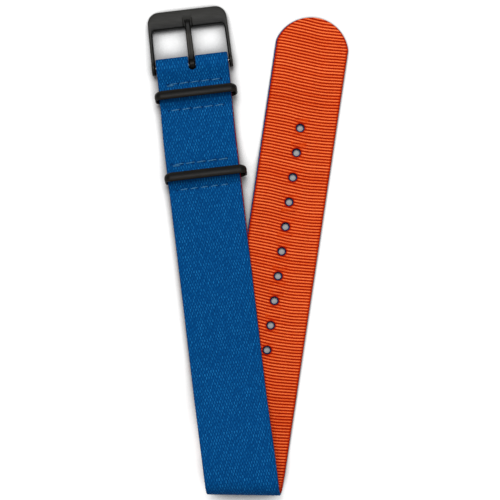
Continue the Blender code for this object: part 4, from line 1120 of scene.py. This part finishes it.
def frame_half():
    """Matching points on the right half's inner and outer edges, from the arm's end to the front's middle."""
    arm_end = -FRAME_END_RADIUS * np.cos(np.linspace(0, math.pi / 2, END_POINTS))
    forward = np.concatenate([arm_end, np.linspace(0, FRAME_WINDOW - WINDOW_CORNER, ARM_STEPS)[1:]])
    share = (forward + FRAME_END_RADIUS) / (FRAME_REACH + FRAME_END_RADIUS)
    outer_x = FRAME_END_HALF + (FRAME_FRONT_HALF - FRAME_END_HALF) * share
    inner_x = outer_x - ARM_WALL
    turn = np.linspace(0, math.pi / 2, FRAME_CORNER_STEPS + 1)[1:]
    bar_x = np.concatenate([np.linspace(FRONT_FROM, NOTCH_HALF + NOTCH_SLOPE, FRONT_POINTS),
                            NOTCH_HALF + NOTCH_SLOPE * np.linspace(NOTCH_SIDE_FROM, 0, NOTCH_SIDE_POINTS),
                            np.linspace(*NOTCH_FLOOR, NOTCH_FLOOR_POINTS)])
    halves = []
    for arm_x, corner_x, end, radius in ((inner_x, inner_x[-1], FRAME_WINDOW, WINDOW_CORNER),
                                         (outer_x, FRAME_FRONT_HALF, FRAME_REACH, FRAME_CORNER)):
        corner = points_of(corner_x - radius + radius * np.cos(turn), end - radius + radius * np.sin(turn))
        halves.append(np.concatenate([points_of(arm_x, forward), corner, points_of(bar_x, end)]))
    return halves


def frame_section(half, span, cut):
    """The band's cross-section: how far each point lies in from the outer edge, and its height.

    Its four edges are rounded, the inner top one most. cut is the depth of the tongue's notch, which
    runs in from the inner edge and climbs back to the full height before the outer edge.
    """
    edge, inner_edge = (min(radius, EDGE_OF_HALF * half, EDGE_OF_SPAN * span)
                        for radius in (FRAME_EDGE, FRAME_INNER_EDGE))
    turn = np.linspace(0, math.pi / 2, EDGE_STEPS)
    corners = [(span - inner_edge, half - cut - inner_edge, inner_edge, 0), (edge, half - edge, edge, 1),
               (edge, edge - half, edge, 2), (span - edge, edge - half, edge, 3)]
    rounds = [points_of(x + radius * np.cos(turn + quarter * math.pi / 2),
                        z + radius * np.sin(turn + quarter * math.pi / 2))
              for x, z, radius, quarter in corners]
    floor_of_notch = [span - min(NOTCH_LENGTH, span * NOTCH_SHARE), half - cut]
    top_of_slope = [span - min(NOTCH_LENGTH + NOTCH_SLOPE, span * NOTCH_PAST_SHARE), half]
    return np.concatenate([rounds[0], [floor_of_notch, top_of_slope], *rounds[1:]])


inner, outer = (np.concatenate([edge, (edge * (-1, 1))[::-1]]) for edge in frame_half())
middle = np.minimum((inner[:, 1] + outer[:, 1]) / 2, FRAME_WINDOW)
depth = ARM_DEPTH + (FRONT_DEPTH - ARM_DEPTH) * ease((middle - FRAME_END_RADIUS) / ARM_BLEND)
boss = np.sqrt(np.maximum(FRAME_END_RADIUS ** 2 - middle ** 2, LEAST_BOSS ** 2))
half_depth = np.where(middle < 0, boss, np.maximum(depth / 2, np.where(middle < FRAME_END_RADIUS, boss, 0)))
notch = NOTCH_SHOWN * ease((NOTCH_HALF + NOTCH_SLOPE - np.abs(inner[:, 0])) / NOTCH_SLOPE)
width = np.linalg.norm(inner - outer, axis=1)
sections = []
for start, end, span, half, cut in zip(outer, inner, width, half_depth, notch):
    section = frame_section(half, span, cut)
    plan = start + (end - start) * section[:, :1] / span
    sections.append(np.concatenate([plan, section[:, 1:]], axis=1))
rounded_edge = np.sin(np.linspace(0, math.pi, EDGE_STEPS))
section_edge = np.concatenate([0 * rounded_edge, [0, 0], np.tile(rounded_edge, 3)])
# Painted shade: the frame's two inner rounded edges along the window are darkened.
section_shade = np.zeros(len(section_edge))
section_shade[:EDGE_STEPS] = INNER_EDGE_SHADE
section_shade[-EDGE_STEPS:] = INNER_EDGE_SHADE
buckle = swept("frame", on_frame(np.array(sections)), sharp_degrees=METAL_SHARP,
               attributes={"edge": np.tile(section_edge, len(sections)),
                           "painted_shade": np.tile(section_shade, len(sections))})


def drilled(piece, diameter, half_length):
    """Cut a round hole along the spring bar's axis, and close the slits of no width that the cut leaves."""
    turn = 2 * math.pi * np.arange(DRILL_SIDES) / DRILL_SIDES
    ends = np.array([[-half_length], [half_length]])
    rim = diameter / 2 * points_of(np.cos(turn), np.sin(turn))
    drill = swept("drill", on_frame(points_of(ends, rim[:, 0], rim[:, 1])))
    drill.data.flip_normals()
    change = piece.modifiers.new("drilled", "BOOLEAN")
    change.operation = "DIFFERENCE"
    change.solver = "EXACT"
    change.object = drill
    made = bpy.data.meshes.new_from_object(piece.evaluated_get(bpy.context.evaluated_depsgraph_get()))
    piece.modifiers.clear()
    mended = bmesh.new()
    mended.from_mesh(made)
    bmesh.ops.holes_fill(mended, edges=[edge for edge in mended.edges if not edge.is_manifold], sides=0)
    mended.to_mesh(made)
    mended.free()
    piece.data = made
    bpy.data.objects.remove(drill)


drilled(buckle, ARM_HOLE, FRAME_END_HALF + DRILL_PAST)
buckle.data.materials.append(BUCKLE_METAL)
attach(buckle, "buckle_frame")
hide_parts("buckle_frame")


# The tongue is a narrow bar curled round the spring bar, with its long edges rounded, lying in the notch.
# Its coating has a painted highlight along the shank's rounded edges, and painted shade at both ends and down
# the sides.
TONGUE_HALF = 0.9 * MM
TONGUE_TIP_HALF = 0.75 * MM
TONGUE_THICKNESS = 1.1 * MM
TONGUE_REACH = 12.6 * MM
TONGUE_TIP = 1.6 * MM
TONGUE_KNEE = 9.3 * MM
TONGUE_EDGE = 0.42 * MM
TONGUE_GAP = 0.3 * MM
CURL_RADIUS = 1.65 * MM
CURL_BORE = 2.1 * MM
CURL_POINTS = 60
TIP_POINTS = 12
SHANK_POINTS = 12
ROUND_POINTS = 7
HIGHLIGHT_TO = 8.0 * MM
SHADED_ENDS = 0.8
SHADED_SIDES = 0.7


def tongue_outline():
    """The side view, forward and up from the spring bar: round the curl, up the shank and over the tip."""
    under = FRONT_DEPTH / 2 - NOTCH_DEPTH + TONGUE_GAP
    top = under + TONGUE_THICKNESS
    climb = math.atan2((under + top) / 2, TONGUE_KNEE)
    leave = math.asin(TONGUE_THICKNESS / 2 / CURL_RADIUS)
    flat = TONGUE_REACH - TONGUE_TIP
    curl = climb - leave - (2 * math.pi - 2 * leave) * np.linspace(0, 1, CURL_POINTS)
    curl_line = CURL_RADIUS * points_of(np.cos(curl), np.sin(curl))
    share = np.linspace(0, 1, SHANK_POINTS + 1)[:, None]
    knee_under = np.array([TONGUE_KNEE, under])
    knee_top = np.array([TONGUE_KNEE, top])
    lower = knee_under + (curl_line[0] - knee_under) * share[:-1]
    upper = curl_line[-1] + (knee_top - curl_line[-1]) * share[1:]
    turn = np.linspace(math.pi / 2, 0, TIP_POINTS)
    tip = points_of(flat + TONGUE_TIP * np.cos(turn), under + TONGUE_THICKNESS * np.sin(turn))
    return np.concatenate([[[flat, under]], lower, curl_line, upper, tip])


outline = tongue_outline()
run = unit(np.roll(outline, -1, axis=0) - np.roll(outline, 1, axis=0))
area = np.sum(outline[:, 0] * np.roll(outline[:, 1], -1) - np.roll(outline[:, 0], -1) * outline[:, 1])
inwards = points_of(-run[:, 1], run[:, 0]) * np.sign(area)
tongue_half = TONGUE_HALF + (TONGUE_TIP_HALF - TONGUE_HALF) * np.clip(outline[:, 0] / TONGUE_REACH, 0, 1)
edge_turn = np.linspace(0, math.pi / 2, ROUND_POINTS)
edge_turn = np.concatenate([edge_turn, [math.pi / 2], edge_turn[::-1]])
side_of = np.repeat([-1, 0, 1], [ROUND_POINTS, 1, ROUND_POINTS])
insets = TONGUE_EDGE * (1 - np.cos(edge_turn))
trims = TONGUE_EDGE * (1 - np.sin(edge_turn))
rings = np.zeros((len(side_of), len(outline), 3))
rings[:, :, 0] = side_of[:, None] * (tongue_half - insets[:, None])
rings[:, :, 1:] = outline + inwards * trims[:, None, None]
# Painted light on the tongue: a painted highlight along the shank's rounded edges, and painted shade at the
# curl, the tip and the sides.
lit_shank = ease((outline[:, 0] - CURL_RADIUS) / TONGUE_TIP) * (1 - ease((outline[:, 0] - HIGHLIGHT_TO) / TONGUE_TIP))
tongue_highlight = 2 * ((np.abs(side_of) * np.sin(edge_turn) ** 2)[:, None] * lit_shank).ravel()
tongue_shade = np.maximum(SHADED_ENDS * (1 - lit_shank), (SHADED_SIDES * np.cos(edge_turn) ** 2)[:, None]).ravel()
tongue = swept("tongue", on_frame(rings), sharp_degrees=METAL_SHARP,
               attributes={"edge": tongue_highlight, "painted_shade": tongue_shade})
drilled(tongue, CURL_BORE, 2 * TONGUE_HALF)
tongue.data.materials.append(BUCKLE_METAL)
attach(tongue, "buckle_tongue")
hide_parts("buckle_tongue")


# The spring bar is turned steel: a tube with crimped mouths, a shouldered tip at each end that slides in it,
# and a coil spring of fine wire between the tips' heads. Each half of the spring is pressed by its own tip.
SPRING_CURLS = 12
SPRING_WIRE = 0.16 * MM
SPRING_RADIUS = 0.42 * MM
SPRING_POINTS = 24
SPRING_SIDES = 8
TURNED_STRETCH = (9000.0, 900.0, 900.0)
STEEL_ROUGHNESS = (0.22, 0.42)
STEEL_STOPS = ((0.0, (0.20, 0.20, 0.19)), (1.0, (0.36, 0.36, 0.35)))


def steel_material():
    """Turned steel with fine rings round its length."""
    made, tree, shader = new_material("turned_steel", gloss=0.5)
    place = add_node(tree, "TexCoord").outputs["Object"]
    rings_seen = noise(tree, place, scale=1.0, detail=3.0, stretch=TURNED_STRETCH)
    tree.links.new(mapped(tree, rings_seen, (0, 1), STEEL_ROUGHNESS), shader.inputs["Roughness"])
    tree.links.new(coloured(tree, rings_seen, STEEL_STOPS), shader.inputs["Base Color"])
    shader.inputs["Metallic"].default_value = 1.0
    return made


STEEL = steel_material()
for node in ("spring_bar_tube", "spring_bar_tip_left", "spring_bar_tip_right"):
    shown = frame["nodes"][node]
    shown.data.materials.clear()
    shown.data.materials.append(STEEL)

spring_low, spring_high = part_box("spring_bar_spring")
spring_half = ((spring_high - spring_low).to_2d().length - 2 * SPRING_RADIUS) / 2
share = np.linspace(0, 1, SPRING_CURLS * SPRING_POINTS + 1)
angle = 2 * math.pi * SPRING_CURLS * share
away = points_of(0, np.cos(angle), np.sin(angle))
centre = points_of((2 * share - 1) * spring_half, 0, 0) + SPRING_RADIUS * away
aside = np.cross(unit(np.gradient(centre, axis=0)), away)
turn = 2 * math.pi * np.arange(SPRING_SIDES) / SPRING_SIDES
wire = centre[:, None] + SPRING_WIRE / 2 * (away[:, None] * np.cos(turn)[None, :, None]
                                            + aside[:, None] * np.sin(turn)[None, :, None])
middle_point = len(share) // 2
for side, half_wire in (("left", wire[:middle_point + 1]), ("right", wire[middle_point:])):
    spring = swept("spring_" + side, leaned(half_wire[:, ::-1], bar_place, 0.0))
    spring.data.materials.append(STEEL)
    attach(spring, "buckle_half")
    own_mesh(spring)
    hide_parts("spring_bar_spring")
